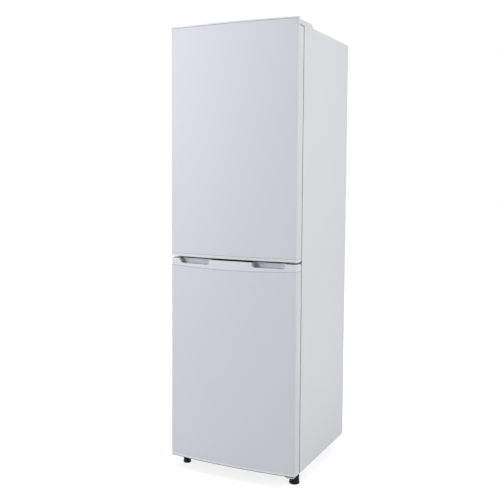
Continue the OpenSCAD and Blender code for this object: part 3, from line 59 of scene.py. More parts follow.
# Which body each node of the frame moves with
BODY_OF = {n: b for b, members in frame["record"]["behaviour"]["bodies"].items() for n in members}


def top_of(node):
    """The height of a node's top, in millimetres."""
    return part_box(node)[1].z / MM


def foot_of(node):
    """The height of a node's lowest point, in millimetres."""
    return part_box(node)[0].z / MM


# The rest is in millimetres. The doors' outline from above: half width, round corners, how far
# the edges stand ahead of the cabinet's front face, and the bow of the front beyond them
DOOR_HALF_WIDTH = 237
DOOR_CORNER = 8
DOOR_EDGE = 47
DOOR_BOW = 13.3
# The middle of the gap between the doors, and how far from it the faces beside the gap reach; these faces
# take painted shade
GRIP_TOP = top_of("freezer_door_grip_cap")
GAP_MIDDLE = (GRIP_TOP + foot_of("fridge_door_bottom_cap")) / 2
GAP_REACH = 4.4
# The finger pockets in the lower door's grip cap: heights, and where they start ahead of the cabinet
POCKET_FLOOR = GRIP_TOP - 21
POCKET_TOP = GRIP_TOP - 0.4
POCKET_START = 30.5
# Up to here a cap's down-turned faces belong to the lower door's underside, which takes painted shadow
UNDERSIDE_TOP = foot_of("freezer_door_bottom_cap") + 3.5
# The upper door's skin: its top, the seam above it, and its upright edge beside the hinge corner
SKIN_TOP = top_of("fridge_door_skin")
TOP_SEAM = 1.0
NOTCH_EDGE = DOOR_HALF_WIDTH - 4.6
NOTCH_FOOT = SKIN_TOP - 22
# Faces that meet at more than this angle, in degrees, have a crisp edge between them
CRISP = 32
# Least width of a face beside a rounded edge, in widths of the rounding: on one side, on both
ROOM = 1.05
ROOM_FOR_TWO = 2.1


# Camera and studio


def place_camera():
    """The photograph's viewpoint: ahead of the doors, to their right and above the middle."""
    place = (1.16049, -2.55442, 1.04985)
    heading, tilt_down, roll = 0.4622, 0.0679, 0.0051
    data = bpy.data.cameras.new("photo_camera")
    data.sensor_width = 36
    data.lens = 55.37
    data.shift_x = 0.0311
    data.shift_y = -0.0494
    data.clip_start = 0.05
    data.clip_end = 60
    camera = bpy.data.objects.new("photo_camera", data)
    bpy.context.scene.collection.objects.link(camera)
    turn = Euler((math.pi / 2 - tilt_down, 0, heading)).to_matrix() @ Matrix.Rotation(roll, 3, "Z")
    camera.matrix_world = Matrix.Translation(place) @ turn.to_4x4()
    bpy.context.scene.camera = camera


def place_softbox(name, place, target, size, power, colour):
    """A soft rectangular studio lamp that is itself out of sight."""
    data = bpy.data.lights.new(name, "AREA")
    data.shape = "RECTANGLE"
    data.size, data.size_y = size
    data.energy = power
    data.color = colour
    lamp = bpy.data.objects.new(name, data)
    lamp.location = place
    lamp.rotation_euler = (Vector(target) - Vector(place)).to_track_quat("-Z", "Y").to_euler()
    lamp.visible_camera = False
    bpy.context.scene.collection.objects.link(lamp)


def hang_softboxes():
    """A key lamp at the front left, and weaker ones at the right, overhead and behind."""
    place_softbox(
        "key_lamp", place=(-3.0, -3.5, 2.05), target=(0, -0.2, 0.85), size=(2.8, 2.6), power=124,
        colour=(0.915, 0.947, 1),
    )
    place_softbox(
        "side_lamp", place=(2.4, -0.25, 1.3), target=(0.2, 0.05, 1.2), size=(1.4, 1.6), power=28,
        colour=(0.99, 0.985, 0.985),
    )
    place_softbox(
        "top_lamp", place=(0.2, -0.4, 3.8), target=(0, 0, 0), size=(2.8, 2.4), power=44, colour=(1, 1, 1)
    )
    place_softbox(
        "rear_lamp", place=(-1.2, 3.2, 2.2), target=(0, 0.2, 0.8), size=(2.0, 2.0), power=30, colour=(1, 1, 1)
    )


def maths(nodes, links, operation, *terms, clamp=False):
    """A Math node's result; each term is a number or another node's output."""
    node = nodes.new("ShaderNodeMath")
    node.operation = operation
    node.use_clamp = clamp
    for socket, term in zip(node.inputs, terms):
        if isinstance(term, bpy.types.NodeSocket):
            links.new(term, socket)
        else:
            socket.default_value = term
    return node.outputs[0]


def ramp(nodes, links, value, low, high, at_low, at_high):
    """What goes evenly from at_low to at_high while a value goes from low to high."""
    node = nodes.new("ShaderNodeMapRange")
    node.inputs["From Min"].default_value = low
    node.inputs["From Max"].default_value = high
    node.inputs["To Min"].default_value = at_low
    node.inputs["To Max"].default_value = at_high
    links.new(value, node.inputs["Value"])
    return node.outputs["Result"]


def seen_directly(nodes, links):
    """1 where the floor or the backdrop is seen by the camera, in gloss or through glass."""
    path = nodes.new("ShaderNodeLightPath").outputs
    bare = maths(nodes, links, "MAXIMUM", path["Is Camera Ray"], path["Is Glossy Ray"])
    return maths(nodes, links, "MAXIMUM", bare, path["Is Transmission Ray"])


def hang_backdrop():
    """A white surrounding that lights the object more softly than it looks."""
    world = bpy.data.worlds.new("studio")
    bpy.context.scene.world = world
    world.use_nodes = True
    nodes, links = world.node_tree.nodes, world.node_tree.links
    nodes.clear()
    out = nodes.new("ShaderNodeOutputWorld")
    mix = nodes.new("ShaderNodeMixShader")
    fill = nodes.new("ShaderNodeBackground")
    fill.inputs["Color"].default_value = (0.95, 0.965, 1, 1)
    # Brighter overhead than level with the doors, and dark below
    place = nodes.new("ShaderNodeTexCoord")
    parts = nodes.new("ShaderNodeSeparateXYZ")
    links.new(place.outputs["Generated"], parts.inputs[0])
    links.new(ramp(nodes, links, parts.outputs["Z"], -0.1, 1, 0.12, 0.5), fill.inputs["Strength"])
    white = nodes.new("ShaderNodeBackground")
    white.inputs["Color"].default_value = (1, 1, 1, 1)
    white.inputs["Strength"].default_value = 1
    links.new(seen_directly(nodes, links), mix.inputs["Fac"])
    links.new(fill.outputs[0], mix.inputs[1])
    links.new(white.outputs[0], mix.inputs[2])
    links.new(mix.outputs[0], out.inputs["Surface"])


def lay_floor():
    """A pale floor that reads white and keeps the object's shadow."""
    shape = bmesh.new()
    bmesh.ops.create_grid(shape, x_segments=8, y_segments=8, size=9)
    mesh = bpy.data.meshes.new("floor")
    shape.to_mesh(mesh)
    shape.free()
    floor = bpy.data.objects.new("floor", mesh)
    bpy.context.scene.collection.objects.link(floor)
    paper = bpy.data.materials.new("floor_paper")
    paper.use_nodes = True
    nodes, links = paper.node_tree.nodes, paper.node_tree.links
    nodes.clear()
    out = nodes.new("ShaderNodeOutputMaterial")
    matt = nodes.new("ShaderNodeBsdfDiffuse")
    matt.inputs["Color"].default_value = (0.36, 0.36, 0.365, 1)
    glow = nodes.new("ShaderNodeEmission")
    glow.inputs["Color"].default_value = (1, 1, 1, 1)
    add = nodes.new("ShaderNodeAddShader")
    # The paper whitens away from the object, so that the far floor meets the backdrop unseen
    place = nodes.new("ShaderNodeTexCoord")
    reach = nodes.new("ShaderNodeVectorMath")
    reach.operation = "LENGTH"
    links.new(place.outputs["Object"], reach.inputs[0])
    whiteness = ramp(nodes, links, reach.outputs["Value"], 0.25, 1.6, 0.78, 1)
    shine = maths(nodes, links, "MULTIPLY", seen_directly(nodes, links), whiteness)
    links.new(shine, glow.inputs["Strength"])
    links.new(matt.outputs[0], add.inputs[0])
    links.new(glow.outputs[0], add.inputs[1])
    links.new(add.outputs[0], out.inputs["Surface"])
    mesh.materials.append(paper)


# Finishes


def new_group(name, inputs, outputs):
    """An empty shader group with named sockets; inputs are (name, kind, value)."""
    group = bpy.data.node_groups.new(name, "ShaderNodeTree")
    for label, kind, value in inputs:
        socket = group.interface.new_socket(label, in_out="INPUT", socket_type=kind)
        if value is not None:
            socket.default_value = value
    for label, kind in outputs:
        group.interface.new_socket(label, in_out="OUTPUT", socket_type=kind)
    start = group.nodes.new("NodeGroupInput")
    end = group.nodes.new("NodeGroupOutput")
    return group, start.outputs, end.inputs


def make_surface_group():
    """Fine relief, uneven gloss and a faint mottle of the colour, all from one point on the piece, and
    painted shade where an occlusion test finds seams and gaps.
    """
    group, given, result = new_group(
        "worked_surface",
        [
            ("Colour", "NodeSocketColor", (0.8, 0.8, 0.8, 1)),
            ("Mottle", "NodeSocketFloat", 0.02),
            ("Mottle Scale", "NodeSocketFloat", 9.0),
            ("Roughness", "NodeSocketFloat", 0.4),
            ("Uneven", "NodeSocketFloat", 0.04),
            ("Relief Scale", "NodeSocketFloat", 600.0),
            ("Relief Detail", "NodeSocketFloat", 1.0),
            ("Crevice Shade", "NodeSocketFloat", 0.0),
            ("Openness", "NodeSocketFloat", 1.0),
            ("Point", "NodeSocketVector", None),
        ],
        [("Colour", "NodeSocketColor"), ("Roughness", "NodeSocketFloat"), ("Relief", "NodeSocketFloat")],
    )
    nodes, links = group.nodes, group.links
    broad = nodes.new("ShaderNodeTexNoise")
    broad.inputs["Detail"].default_value = 3
    links.new(given["Point"], broad.inputs["Vector"])
    links.new(given["Mottle Scale"], broad.inputs["Scale"])
    swing = maths(nodes, links, "SUBTRACT", broad.outputs["Fac"], 0.5)
    # Colour: darker or lighter by the mottle
    lift = maths(nodes, links, "MULTIPLY_ADD", swing, given["Mottle"], 1)
    # and darker by painted shade in seams and narrow gaps, from an occlusion test
    closed = maths(nodes, links, "SUBTRACT", 1, given["Openness"])
    shade = maths(nodes, links, "MULTIPLY", closed, given["Crevice Shade"])
    keep = maths(nodes, links, "SUBTRACT", 1, shade, clamp=True)
    level = maths(nodes, links, "MULTIPLY", keep, lift)
    tint = nodes.new("ShaderNodeVectorMath")
    tint.operation = "SCALE"
    links.new(given["Colour"], tint.inputs[0])
    links.new(level, tint.inputs["Scale"])
    links.new(tint.outputs[0], result["Colour"])
    # Gloss: a little more or less rough
    rough = maths(nodes, links, "MULTIPLY_ADD", swing, given["Uneven"], given["Roughness"])
    links.new(rough, result["Roughness"])
    # Relief: the paint's or the mould's fine texture
    fine = nodes.new("ShaderNodeTexNoise")
    links.new(given["Point"], fine.inputs["Vector"])
    links.new(given["Relief Scale"], fine.inputs["Scale"])
    links.new(given["Relief Detail"], fine.inputs["Detail"])
    links.new(fine.outputs["Fac"], result["Relief"])
    return group


def make_spangle_group():
    """The crystal pattern of zinc on sheet steel."""
    group, given, result = new_group(
        "zinc_spangle",
        [
            ("Light", "NodeSocketColor", (0.7, 0.7, 0.7, 1)),
            ("Dark", "NodeSocketColor", (0.5, 0.5, 0.5, 1)),
            ("Scale", "NodeSocketFloat", 120.0),
            ("Point", "NodeSocketVector", None),
        ],
        [("Colour", "NodeSocketColor"), ("Roughness", "NodeSocketFloat")],
    )
    nodes, links = group.nodes, group.links
    cells = nodes.new("ShaderNodeTexVoronoi")
    links.new(given["Point"], cells.inputs["Vector"])
    links.new(given["Scale"], cells.inputs["Scale"])
    parts = nodes.new("ShaderNodeSeparateColor")
    links.new(cells.outputs["Color"], parts.inputs[0])
    blend = nodes.new("ShaderNodeMix")
    blend.data_type = "RGBA"
    links.new(parts.outputs[0], blend.inputs["Factor"])
    links.new(given["Light"], blend.inputs["A"])
    links.new(given["Dark"], blend.inputs["B"])
    links.new(blend.outputs["Result"], result["Colour"])
    links.new(maths(nodes, links, "MULTIPLY_ADD", parts.outputs[1], 0.16, 0.3), result["Roughness"])
    return group


SURFACE = make_surface_group()
SPANGLE = make_spangle_group()


def linear(red, green, blue):
    """A colour given as it shows on screen, 0 to 255, in the shader's own terms."""
    parts = []
    for value in (red, green, blue):
        share = value / 255
        parts.append(share / 12.92 if share <= 0.04045 else ((share + 0.055) / 1.055) ** 2.4)
    return (*parts, 1)


def lay_on(material, group, values):
    """Lets a group of nodes give a material its colour and gloss; gives back the group's node."""
    nodes, links = material.node_tree.nodes, material.node_tree.links
    body = nodes["Principled BSDF"]
    place = nodes.new("ShaderNodeTexCoord")
    worked = nodes.new("ShaderNodeGroup")
    worked.node_tree = group
    for label, value in values.items():
        worked.inputs[label].default_value = value
    links.new(place.outputs["Object"], worked.inputs["Point"])
    links.new(worked.outputs["Colour"], body.inputs["Base Color"])
    links.new(worked.outputs["Roughness"], body.inputs["Roughness"])
    return worked


def finish_of(
    name,
    colour,
    roughness,
    mottle=0.02,
    mottle_scale=9,
    uneven=0.04,
    relief_scale=600,
    relief_detail=1,
    relief_height=0.02,
    crevice_shade=0.0,
    crevice_shade_reach=4,
    **shader,
):
    """A material with the worked surface and any painted crevice shade; relief_height and the reach of the
    crevice shade are in millimetres.
    """
    material = bpy.data.materials.new(name)
    material.use_nodes = True
    worked = lay_on(material, SURFACE, {
        "Colour": linear(*colour),
        "Mottle": mottle,
        "Mottle Scale": mottle_scale,
        "Roughness": roughness,
        "Uneven": uneven,
        "Relief Scale": relief_scale,
        "Relief Detail": relief_detail,
    })
    nodes, links = material.node_tree.nodes, material.node_tree.links
    body = nodes["Principled BSDF"]
    # Painted shade: the colour is darkened where an occlusion test within the reach finds other surfaces near
    if crevice_shade:
        hidden = nodes.new("ShaderNodeAmbientOcclusion")
        hidden.samples = 6
        hidden.inputs["Distance"].default_value = crevice_shade_reach * MM
        links.new(hidden.outputs["AO"], worked.inputs["Openness"])
        worked.inputs["Crevice Shade"].default_value = crevice_shade
    bump = nodes.new("ShaderNodeBump")
    bump.inputs["Strength"].default_value = 1
    bump.inputs["Distance"].default_value = relief_height * MM
    links.new(worked.outputs["Relief"], bump.inputs["Height"])
    links.new(bump.outputs["Normal"], body.inputs["Normal"])
    for socket, value in shader.items():
        body.inputs[socket.replace("_", " ")].default_value = value
    return material


def moulding_of(name, colour, roughness, crevice_shade, crevice_shade_reach, relief_height=0.008):
    """A white moulding plastic with its fine even grain."""
    return finish_of(
        name, colour, roughness, mottle=0.012, relief_scale=1500, relief_detail=2,
        relief_height=relief_height, crevice_shade=crevice_shade, crevice_shade_reach=crevice_shade_reach,
    )


def zinc_of(name, light, dark, scale):
    """Zinc-coated sheet steel."""
    material = bpy.data.materials.new(name)
    material.use_nodes = True
    material.node_tree.nodes["Principled BSDF"].inputs["Metallic"].default_value = 0.85
    lay_on(material, SPANGLE, {"Light": linear(*light), "Dark": linear(*dark), "Scale": scale})
    return material


WHITE_PAINT = (228, 229, 232)
MOULDED_WHITE = (236, 237, 240)
LINER_WHITE = (234, 237, 240)

# A finish given a crevice shade is darkened by painted shade in its seams and gaps, out to the reach given
DOOR_PAINT = finish_of(
    "door_paint", WHITE_PAINT, 0.5, mottle=0.012, mottle_scale=5, uneven=0.03,
    relief_scale=420, relief_detail=0, relief_height=0.012, crevice_shade=0.8, crevice_shade_reach=8, Coat_Weight=0.08,
    Coat_Roughness=0.3,
)
ROLLED_PAINT = dict(
    mottle=0.014, mottle_scale=4, uneven=0.04, relief_scale=520, relief_detail=1, relief_height=0.02
)
CABINET_PAINT = finish_of(
    "cabinet_paint", WHITE_PAINT, 0.45, **ROLLED_PAINT, crevice_shade=0.8, crevice_shade_reach=8, Coat_Weight=0.1,
    Coat_Roughness=0.25,
)
# Painted shade: the divider and front rails are darkened where the closed doors stand before them
RAIL_SHADE_PAINT = finish_of("rail_painted_shade", WHITE_PAINT, 0.45, **ROLLED_PAINT, crevice_shade=1.3, crevice_shade_reach=30)
CAP_PLASTIC = moulding_of("cap_plastic", MOULDED_WHITE, 0.42, crevice_shade=1.0, crevice_shade_reach=13)
# Painted shade: the cap plastic darkened by a deep occlusion test, for faces that look across the gap between
# the doors
GAP_SHADE_PLASTIC = moulding_of("gap_painted_shade", MOULDED_WHITE, 0.5, crevice_shade=1.35, crevice_shade_reach=40)
# Painted shade inside the finger pockets
POCKET_SHADE_PLASTIC = moulding_of("pocket_painted_shade", MOULDED_WHITE, 0.45, crevice_shade=0.5, crevice_shade_reach=12)
# Painted light: a paler copy of the cap plastic for the lower door's bottom cap, with mild painted shade in
# its seams
SILL_LIT_PLASTIC = moulding_of("sill_painted_light", (244, 245, 247), 0.42, crevice_shade=0.4, crevice_shade_reach=6)
# Painted shadow: the lower door's underside is darkened where the floor is near
UNDERSIDE_SHADE_PLASTIC = moulding_of("underside_painted_shade", MOULDED_WHITE, 0.5, crevice_shade=1.2, crevice_shade_reach=400)
HINGE_COVER_PLASTIC = moulding_of(
    "hinge_cover_plastic", (226, 227, 229), 0.45, crevice_shade=0.9, crevice_shade_reach=6, relief_height=0.01
)
FORMED_SHEET = dict(
    mottle=0.01, mottle_scale=6, uneven=0.05, relief_scale=90, relief_detail=1, relief_height=0.03
)
LINER_PLASTIC = finish_of("liner_plastic", LINER_WHITE, 0.22, **FORMED_SHEET)
DOOR_LINER_PLASTIC = finish_of(
    "door_liner_plastic", LINER_WHITE, 0.24, **FORMED_SHEET, crevice_shade=0.9, crevice_shade_reach=12
)
SEAL_RUBBER = finish_of(
    "seal_rubber", (138, 140, 144), 0.6, mottle=0.05, mottle_scale=30, uneven=0.08, relief_scale=900,
    relief_detail=2, relief_height=0.02, crevice_shade=1.2, crevice_shade_reach=14,
)
CLEAR_PLASTIC = finish_of(
    "clear_plastic", (248, 251, 253), 0.08, mottle=0.01, uneven=0.03, relief_scale=40, relief_detail=0,
    relief_height=0.01, Transmission_Weight=0.7, IOR=1.49, Alpha=0.45,
)
SHELF_GLASS = finish_of(
    "shelf_glass", (238, 250, 246), 0.03, mottle=0.01, uneven=0.01, relief_scale=30, relief_detail=0,
    relief_height=0.01, Transmission_Weight=1.0, IOR=1.52, Alpha=0.4,
)
GLASS_EDGE = finish_of(
    "glass_edge", (112, 176, 156), 0.12, mottle=0.1, mottle_scale=60, uneven=0.05, relief_scale=400,
    relief_detail=1, relief_height=0.02, Transmission_Weight=0.7, IOR=1.52,
)
DIFFUSER_PLASTIC = finish_of(
    "diffuser_plastic", (240, 240, 234), 0.3, mottle=0.01, relief_scale=700, relief_detail=1,
    relief_height=0.02, Transmission_Weight=0.35,
)
NYLON = finish_of("nylon", (74, 75, 78), 0.45, mottle=0.03, mottle_scale=60, relief_height=0.01)
FOAM = finish_of(
    "poured_foam", (226, 208, 160), 0.85, mottle=0.12, mottle_scale=40, uneven=0.05, relief_scale=900,
    relief_detail=4, relief_height=0.25,
)
BLACK_ENAMEL = finish_of(
    "black_enamel", (18, 18, 20), 0.28, mottle=0.1, mottle_scale=25, uneven=0.12, relief_scale=160,
    relief_detail=2, relief_height=0.06, Coat_Weight=0.4, Coat_Roughness=0.1,
)
FOOT_PLASTIC = finish_of(
    "foot_plastic", (15, 15, 16), 0.45, mottle=0.12, mottle_scale=60, uneven=0.1, relief_scale=1200,
    relief_detail=2, relief_height=0.02, Specular_IOR_Level=0.2,
)
GROMMET_RUBBER = finish_of(
    "grommet_rubber", (30, 30, 31), 0.75, mottle=0.15, mottle_scale=80, uneven=0.1, relief_scale=1400,
    relief_detail=3, relief_height=0.03,
)
COPPER = finish_of(
    "copper", (168, 112, 86), 0.34, mottle=0.35, mottle_scale=24, uneven=0.2, relief_scale=500,
    relief_detail=2, relief_height=0.01, Metallic=1.0,
)
PLATED_STEEL = dict(
    mottle=0.12, mottle_scale=60, uneven=0.14, relief_scale=900, relief_detail=2, relief_height=0.008,
    Metallic=0.95,
)
ZINC_PLATE = finish_of("zinc_plate", (186, 188, 192), 0.3, **PLATED_STEEL)
# Painted shade: a darker copy of the zinc plate, also darkened in seams, for the middle hinge bracket in the
# gap
SHADED_ZINC = finish_of("shaded_zinc", (176, 178, 182), 0.34, **PLATED_STEEL, crevice_shade=0.8, crevice_shade_reach=10)
PRINT_GREY = finish_of("print_grey", (92, 96, 104), 0.5, mottle=0.05, mottle_scale=200, relief_height=0.004)
SPANGLED_STEEL = zinc_of("spangled_steel", (196, 198, 202), (156, 159, 164), 190)


# Working the pieces


def put(shape, name, material, body, replaces=(), smooth=35):
    """Makes a piece of a worked shape, in place, on its body; faces meet softly up to smooth degrees."""
    mesh = bpy.data.meshes.new(name)
    shape.to_mesh(mesh)
    shape.free()
    mesh.materials.append(material)
    piece = bpy.data.objects.new(name, mesh)
    bpy.context.scene.collection.objects.link(piece)
    mesh.polygons.foreach_set("use_smooth", [True] * len(mesh.polygons))
    mesh.set_sharp_from_angle(angle=math.radians(smooth))
    normals = piece.modifiers.new("even_shading", "WEIGHTED_NORMAL")
    normals.keep_sharp = True
    normals.weight = 80
    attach(piece, body)
    if replaces:
        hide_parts(*replaces)
    return piece


def put_for(node, shape, material, smooth=35):
    """Makes the piece that takes a CAD node's place."""
    return put(shape, node + "_piece", material, BODY_OF[node], [node], smooth)


def skin_of(node):
    """The CAD piece's surface as one clean skin of flat and curved faces."""
    shape = bmesh.new()
    shape.from_mesh(frame["nodes"][node].data)
    bmesh.ops.remove_doubles(shape, verts=shape.verts, dist=2e-6)
    bmesh.ops.dissolve_limit(
        shape, angle_limit=math.radians(0.1), verts=shape.verts, edges=shape.edges, delimit={"NORMAL"}
    )
    return shape


def crisp_edges(shape, angle=CRISP):
    """The edges at which two faces meet at more than an angle."""
    limit = math.radians(angle)
    return [e for e in shape.edges if e.is_manifold and e.calc_face_angle(0) > limit]


def has_room(edge, least):
    """Whether both faces beside an edge are at least so many millimetres wide."""
    return min(f.calc_area() for f in edge.link_faces) >= least * MM * edge.calc_length()


def soften(shape, width, edges=None, segments=2, angle=CRISP, room=0):
    """Rounds edges by a width in millimetres; an edge beside a face under room widths stays sharp."""
    if edges is None:
        edges = crisp_edges(shape, angle)
    edges = [e for e in edges if has_room(e, room * width)]
    bmesh.ops.bevel(
        shape, geom=edges, offset=width * MM, offset_type="OFFSET", affect="EDGES", segments=segments,
        profile=0.5, material=-1, clamp_overlap=False,
    )


def door_front(across):
    """Where the doors' bowed front lies along Y, in millimetres from the cabinet's front face."""
    return -DOOR_EDGE - DOOR_BOW * (1 - (across / DOOR_HALF_WIDTH) ** 2)


def at_outline(point):
    """Whether a point lies on the doors' outline as seen from above, or within 0.4 mm of it."""
    across = abs(point.x) / MM
    along = (point.y - FACE_Y) / MM
    straight = DOOR_HALF_WIDTH - DOOR_CORNER
    corner = door_front(straight) + DOOR_CORNER
    if across < straight:
        inside = along - door_front(across)
    elif along > corner:
        inside = DOOR_HALF_WIDTH - across
    else:
        inside = DOOR_CORNER - math.hypot(across - straight, along - corner)
    return inside < 0.4


def outline_edges(shape, low, high, upright=False):
    """Crisp edges along the doors' outline, level or upright, between two heights in millimetres."""
    return [
        e
        for e in crisp_edges(shape)
        if all(low <= v.co.z / MM <= high and at_outline(v.co) for v in e.verts)
        and (abs(e.verts[0].co.z - e.verts[1].co.z) > 0.6 * e.calc_length()) == upright
    ]


def is_shaded(face):
    """Whether a cap's face looks across the gap between the doors, or at the floor, and so takes a
    painted-shade plastic.
    """
    up = face.center.z / MM
    beside_gap = abs(face.normal.z) > 0.6 and abs(up - GAP_MIDDLE) < GAP_REACH
    return beside_gap or (up < UNDERSIDE_TOP and face.normal.z < -0.1)


def is_in_pocket(face):
    """Whether a cap's face belongs to a finger pocket."""
    ahead = (FACE_Y - face.center.y) / MM
    return (
        POCKET_FLOOR < face.center.z / MM < POCKET_TOP
        and ahead > POCKET_START
        and not at_outline(face.center)
    )


def mould_cap(node, lips, corner=None, room=ROOM, plastics=(CAP_PLASTIC, GAP_SHADE_PLASTIC, POCKET_SHADE_PLASTIC)):
    """A door's cap; its level lips, and a corner's upright edges, are (low, high, width) in millimetres."""
    shape = skin_of(node)
    for low, high, width in lips:
        soften(shape, width, outline_edges(shape, low, high), segments=4, room=ROOM)
    if corner:
        low, high, width = corner
        soften(shape, width, outline_edges(shape, low, high, upright=True), segments=3)
    soften(shape, 0.4, angle=50, room=room)
    piece = put_for(node, shape, plastics[0])
    for plastic in plastics[1:]:
        piece.data.materials.append(plastic)
    # The second plastic, painted shade, goes on faces beside the gap or facing the floor; the third, painted
    # shade too, in the finger pockets
    for face in piece.data.polygons:
        if is_shaded(face):
            face.material_index = 1
        elif is_in_pocket(face):
            face.material_index = 2


def mould_caps():
    """The four caps, each with a round lip at its outer end and a smaller one along its other rim."""
    top = top_of("fridge_door_top_cap")
    mould_cap(
        "fridge_door_top_cap", [(top - 1, top + 1, 1.6), (top - 9, top - 1.5, 1.1)],
        corner=(top - 34, top - 5, 0.8), room=ROOM_FOR_TWO,
    )
    foot = foot_of("fridge_door_bottom_cap")
    mould_cap("fridge_door_bottom_cap", [(foot - 0.5, foot + 0.5, 1.2), (foot + 1, foot + 30, 1.0)])
    mould_cap(
        "freezer_door_grip_cap", [(GRIP_TOP - 0.5, GRIP_TOP + 0.5, 1.6), (GRIP_TOP - 39, GRIP_TOP - 19, 1.0)]
    )
    # The lower door's bottom cap: a paler plastic of painted light, with painted shadow on its underside
    foot = foot_of("freezer_door_bottom_cap")
    mould_cap(
        "freezer_door_bottom_cap", [(foot - 0.5, foot + 0.5, 3.0), (foot + 1, foot + 35, 0.3)],
        plastics=(SILL_LIT_PLASTIC, UNDERSIDE_SHADE_PLASTIC),
    )


def press_skin(node):
    """A door's sheet front; the upper door's stops a little short of its top cap, as a drawn seam."""
    shape = skin_of(node)
    if node == "fridge_door_skin":
        brim = [v for v in shape.verts if v.co.z > (SKIN_TOP - 0.1) * MM]
        bmesh.ops.translate(shape, vec=(0, 0, -TOP_SEAM * MM), verts=brim)
        # The edge beside the hinge corner draws back from the cap by a little too
        notch = [
            v
            for v in shape.verts
            if abs(v.co.x - NOTCH_EDGE * MM) < 0.05 * MM and v.co.z > NOTCH_FOOT * MM
        ]
        bmesh.ops.translate(shape, vec=(-0.5 * MM, -0.2 * MM, 0), verts=notch)
        rim = SKIN_TOP - TOP_SEAM
        soften(shape, 0.4, outline_edges(shape, rim - 1, rim + 1))
    soften(shape, 0.25, angle=50)
    put_for(node, shape, DOOR_PAINT)


def fold_cabinet():
    """The painted wrap, with the rounder folds of bent sheet along its outer corners."""
    shape = skin_of("cabinet_wrap")
    low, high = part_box("cabinet_wrap")

    def outer_sides(vertex):
        """Whether a point lies on a side, on the front and on the top."""
        return [
            abs(abs(vertex.co.x) - high.x) < NEAR,
            abs(vertex.co.y - low.y) < NEAR,
            abs(vertex.co.z - high.z) < NEAR,
        ]

    # An edge in two of those planes is a fold
    folds = [
        e
        for e in crisp_edges(shape, 60)
        if sum(all(pair) for pair in zip(outer_sides(e.verts[0]), outer_sides(e.verts[1]))) > 1
    ]
    soften(shape, 1.2, folds, segments=4)
    soften(shape, 0.25, angle=50)
    put_for("cabinet_wrap", shape, CABINET_PAINT)


# Seals, screws, glass edges, lamp cover and dial


# Across the seal and out from the door, in millimetres: foot, two bellows, magnet bar
SEAL_PROFILE = [
    (2, 0), (14, 0), (14, 1.0), (10.5, 1.3), (12.5, 2.3), (10.3, 3.3), (12.3, 4.2), (15.2, 4.4), (16, 5.0),
    (16, 6.9), (15.4, 7.5), (0.6, 7.5), (0, 6.9), (0, 5.0), (0.8, 4.4), (3.7, 4.2), (5.7, 3.3), (3.5, 2.3),
    (5.5, 1.3), (2, 1.0),
]


def points_in(parts):
    """The points among the parts that an operator made."""
    return [part for part in parts if isinstance(part, bmesh.types.BMVert)]


def weld_seal(node):
    """A door's seal: one bellows profile carried round four mitred corners."""
    low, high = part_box(node)
    middle = (low + high) / 2
    shape = bmesh.new()
    ring = [
        shape.verts.new((low.x + across * MM, low.y + out * MM, low.z + across * MM))
        for across, out in SEAL_PROFILE
    ]
    edges = [shape.edges.new(pair) for pair in zip(ring, ring[1:] + ring[:1])]
    for flip in ((-1, 1, 1), (1, 1, -1)) * 2:
        grown = bmesh.ops.extrude_edge_only(shape, edges=edges)["geom"]
        moved = points_in(grown)
        bmesh.ops.scale(shape, vec=flip, space=Matrix.Translation(-middle), verts=moved)
        edges = [
            part
            for part in grown
            if isinstance(part, bmesh.types.BMEdge) and set(moved).issuperset(part.verts)
        ]
    bmesh.ops.remove_doubles(shape, verts=shape.verts, dist=1e-6)
    bmesh.ops.recalc_face_normals(shape, faces=shape.faces)
    soften(shape, 0.2, angle=30)
    put_for(node, shape, SEAL_RUBBER)


def spun(outline, steps=32):
    """A round solid about the upright axis, from half its outline as (radius, height) in millimetres."""
    shape = bmesh.new()
    line = [shape.verts.new((across * MM, 0, up * MM)) for across, up in outline]
    edges = [shape.edges.new(pair) for pair in zip(line, line[1:])]
    bmesh.ops.spin(
        shape, geom=line + edges, cent=(0, 0, 0), axis=(0, 0, 1), dvec=(0, 0, 0), angle=math.tau,
        steps=steps, use_merge=True, use_duplicate=False,
    )
    bmesh.ops.remove_doubles(shape, verts=shape.verts, dist=1e-6)
    bmesh.ops.recalc_face_normals(shape, faces=shape.faces)
    return shape


def cut_along(shape, parts, at, across):
    """Cuts some of a shape's points, edges and faces along a plane."""
    bmesh.ops.bisect_plane(shape, geom=parts, dist=1e-7, plane_co=at, plane_no=across)


def press_cross(shape, top, arm, half, depth):
    """Sinks a cross slot into the flat of a head that looks up; all in millimetres."""

    def is_flat(face):
        """Whether a face belongs to the head's flat."""
        return face.normal.z > 0.9 and face.calc_center_median().z > (top - 0.1) * MM

    bmesh.ops.dissolve_limit(shape, angle_limit=math.radians(1), verts=shape.verts, edges=shape.edges)
    for across in (Vector((1, 0, 0)), Vector((0, 1, 0))):
        for reach in (-arm, -half, half, arm):
            flat = [f for f in shape.faces if is_flat(f)]
            rims = {e for f in flat for e in f.edges}
            corners = {v for f in flat for v in f.verts}
            cut_along(shape, [*corners, *rims, *flat], across * reach * MM, across)
    cross = []
    for face in shape.faces:
        place = face.calc_center_median() / MM
        near, far = sorted((abs(place.x), abs(place.y)))
        if is_flat(face) and near < half and far < arm:
            cross.append(face)
    bmesh.ops.inset_region(
        shape, faces=cross, thickness=half * 0.4 * MM, depth=-depth * MM, use_boundary=True,
        use_even_offset=True,
    )


def add_at(shape, mesh, place):
    """Adds a mesh to a shape at a place."""
    count = len(shape.verts)
    shape.from_mesh(mesh)
    shape.verts.ensure_lookup_table()
    bmesh.ops.transform(shape, matrix=place, verts=shape.verts[count:])


def gather(part, places):
    """One shape of a part set down at several places."""
    mesh = bpy.data.meshes.new("part")
    part.to_mesh(mesh)
    part.free()
    whole = bmesh.new()
    for place in places:
        add_at(whole, mesh, place)
    bpy.data.meshes.remove(mesh)
    return whole


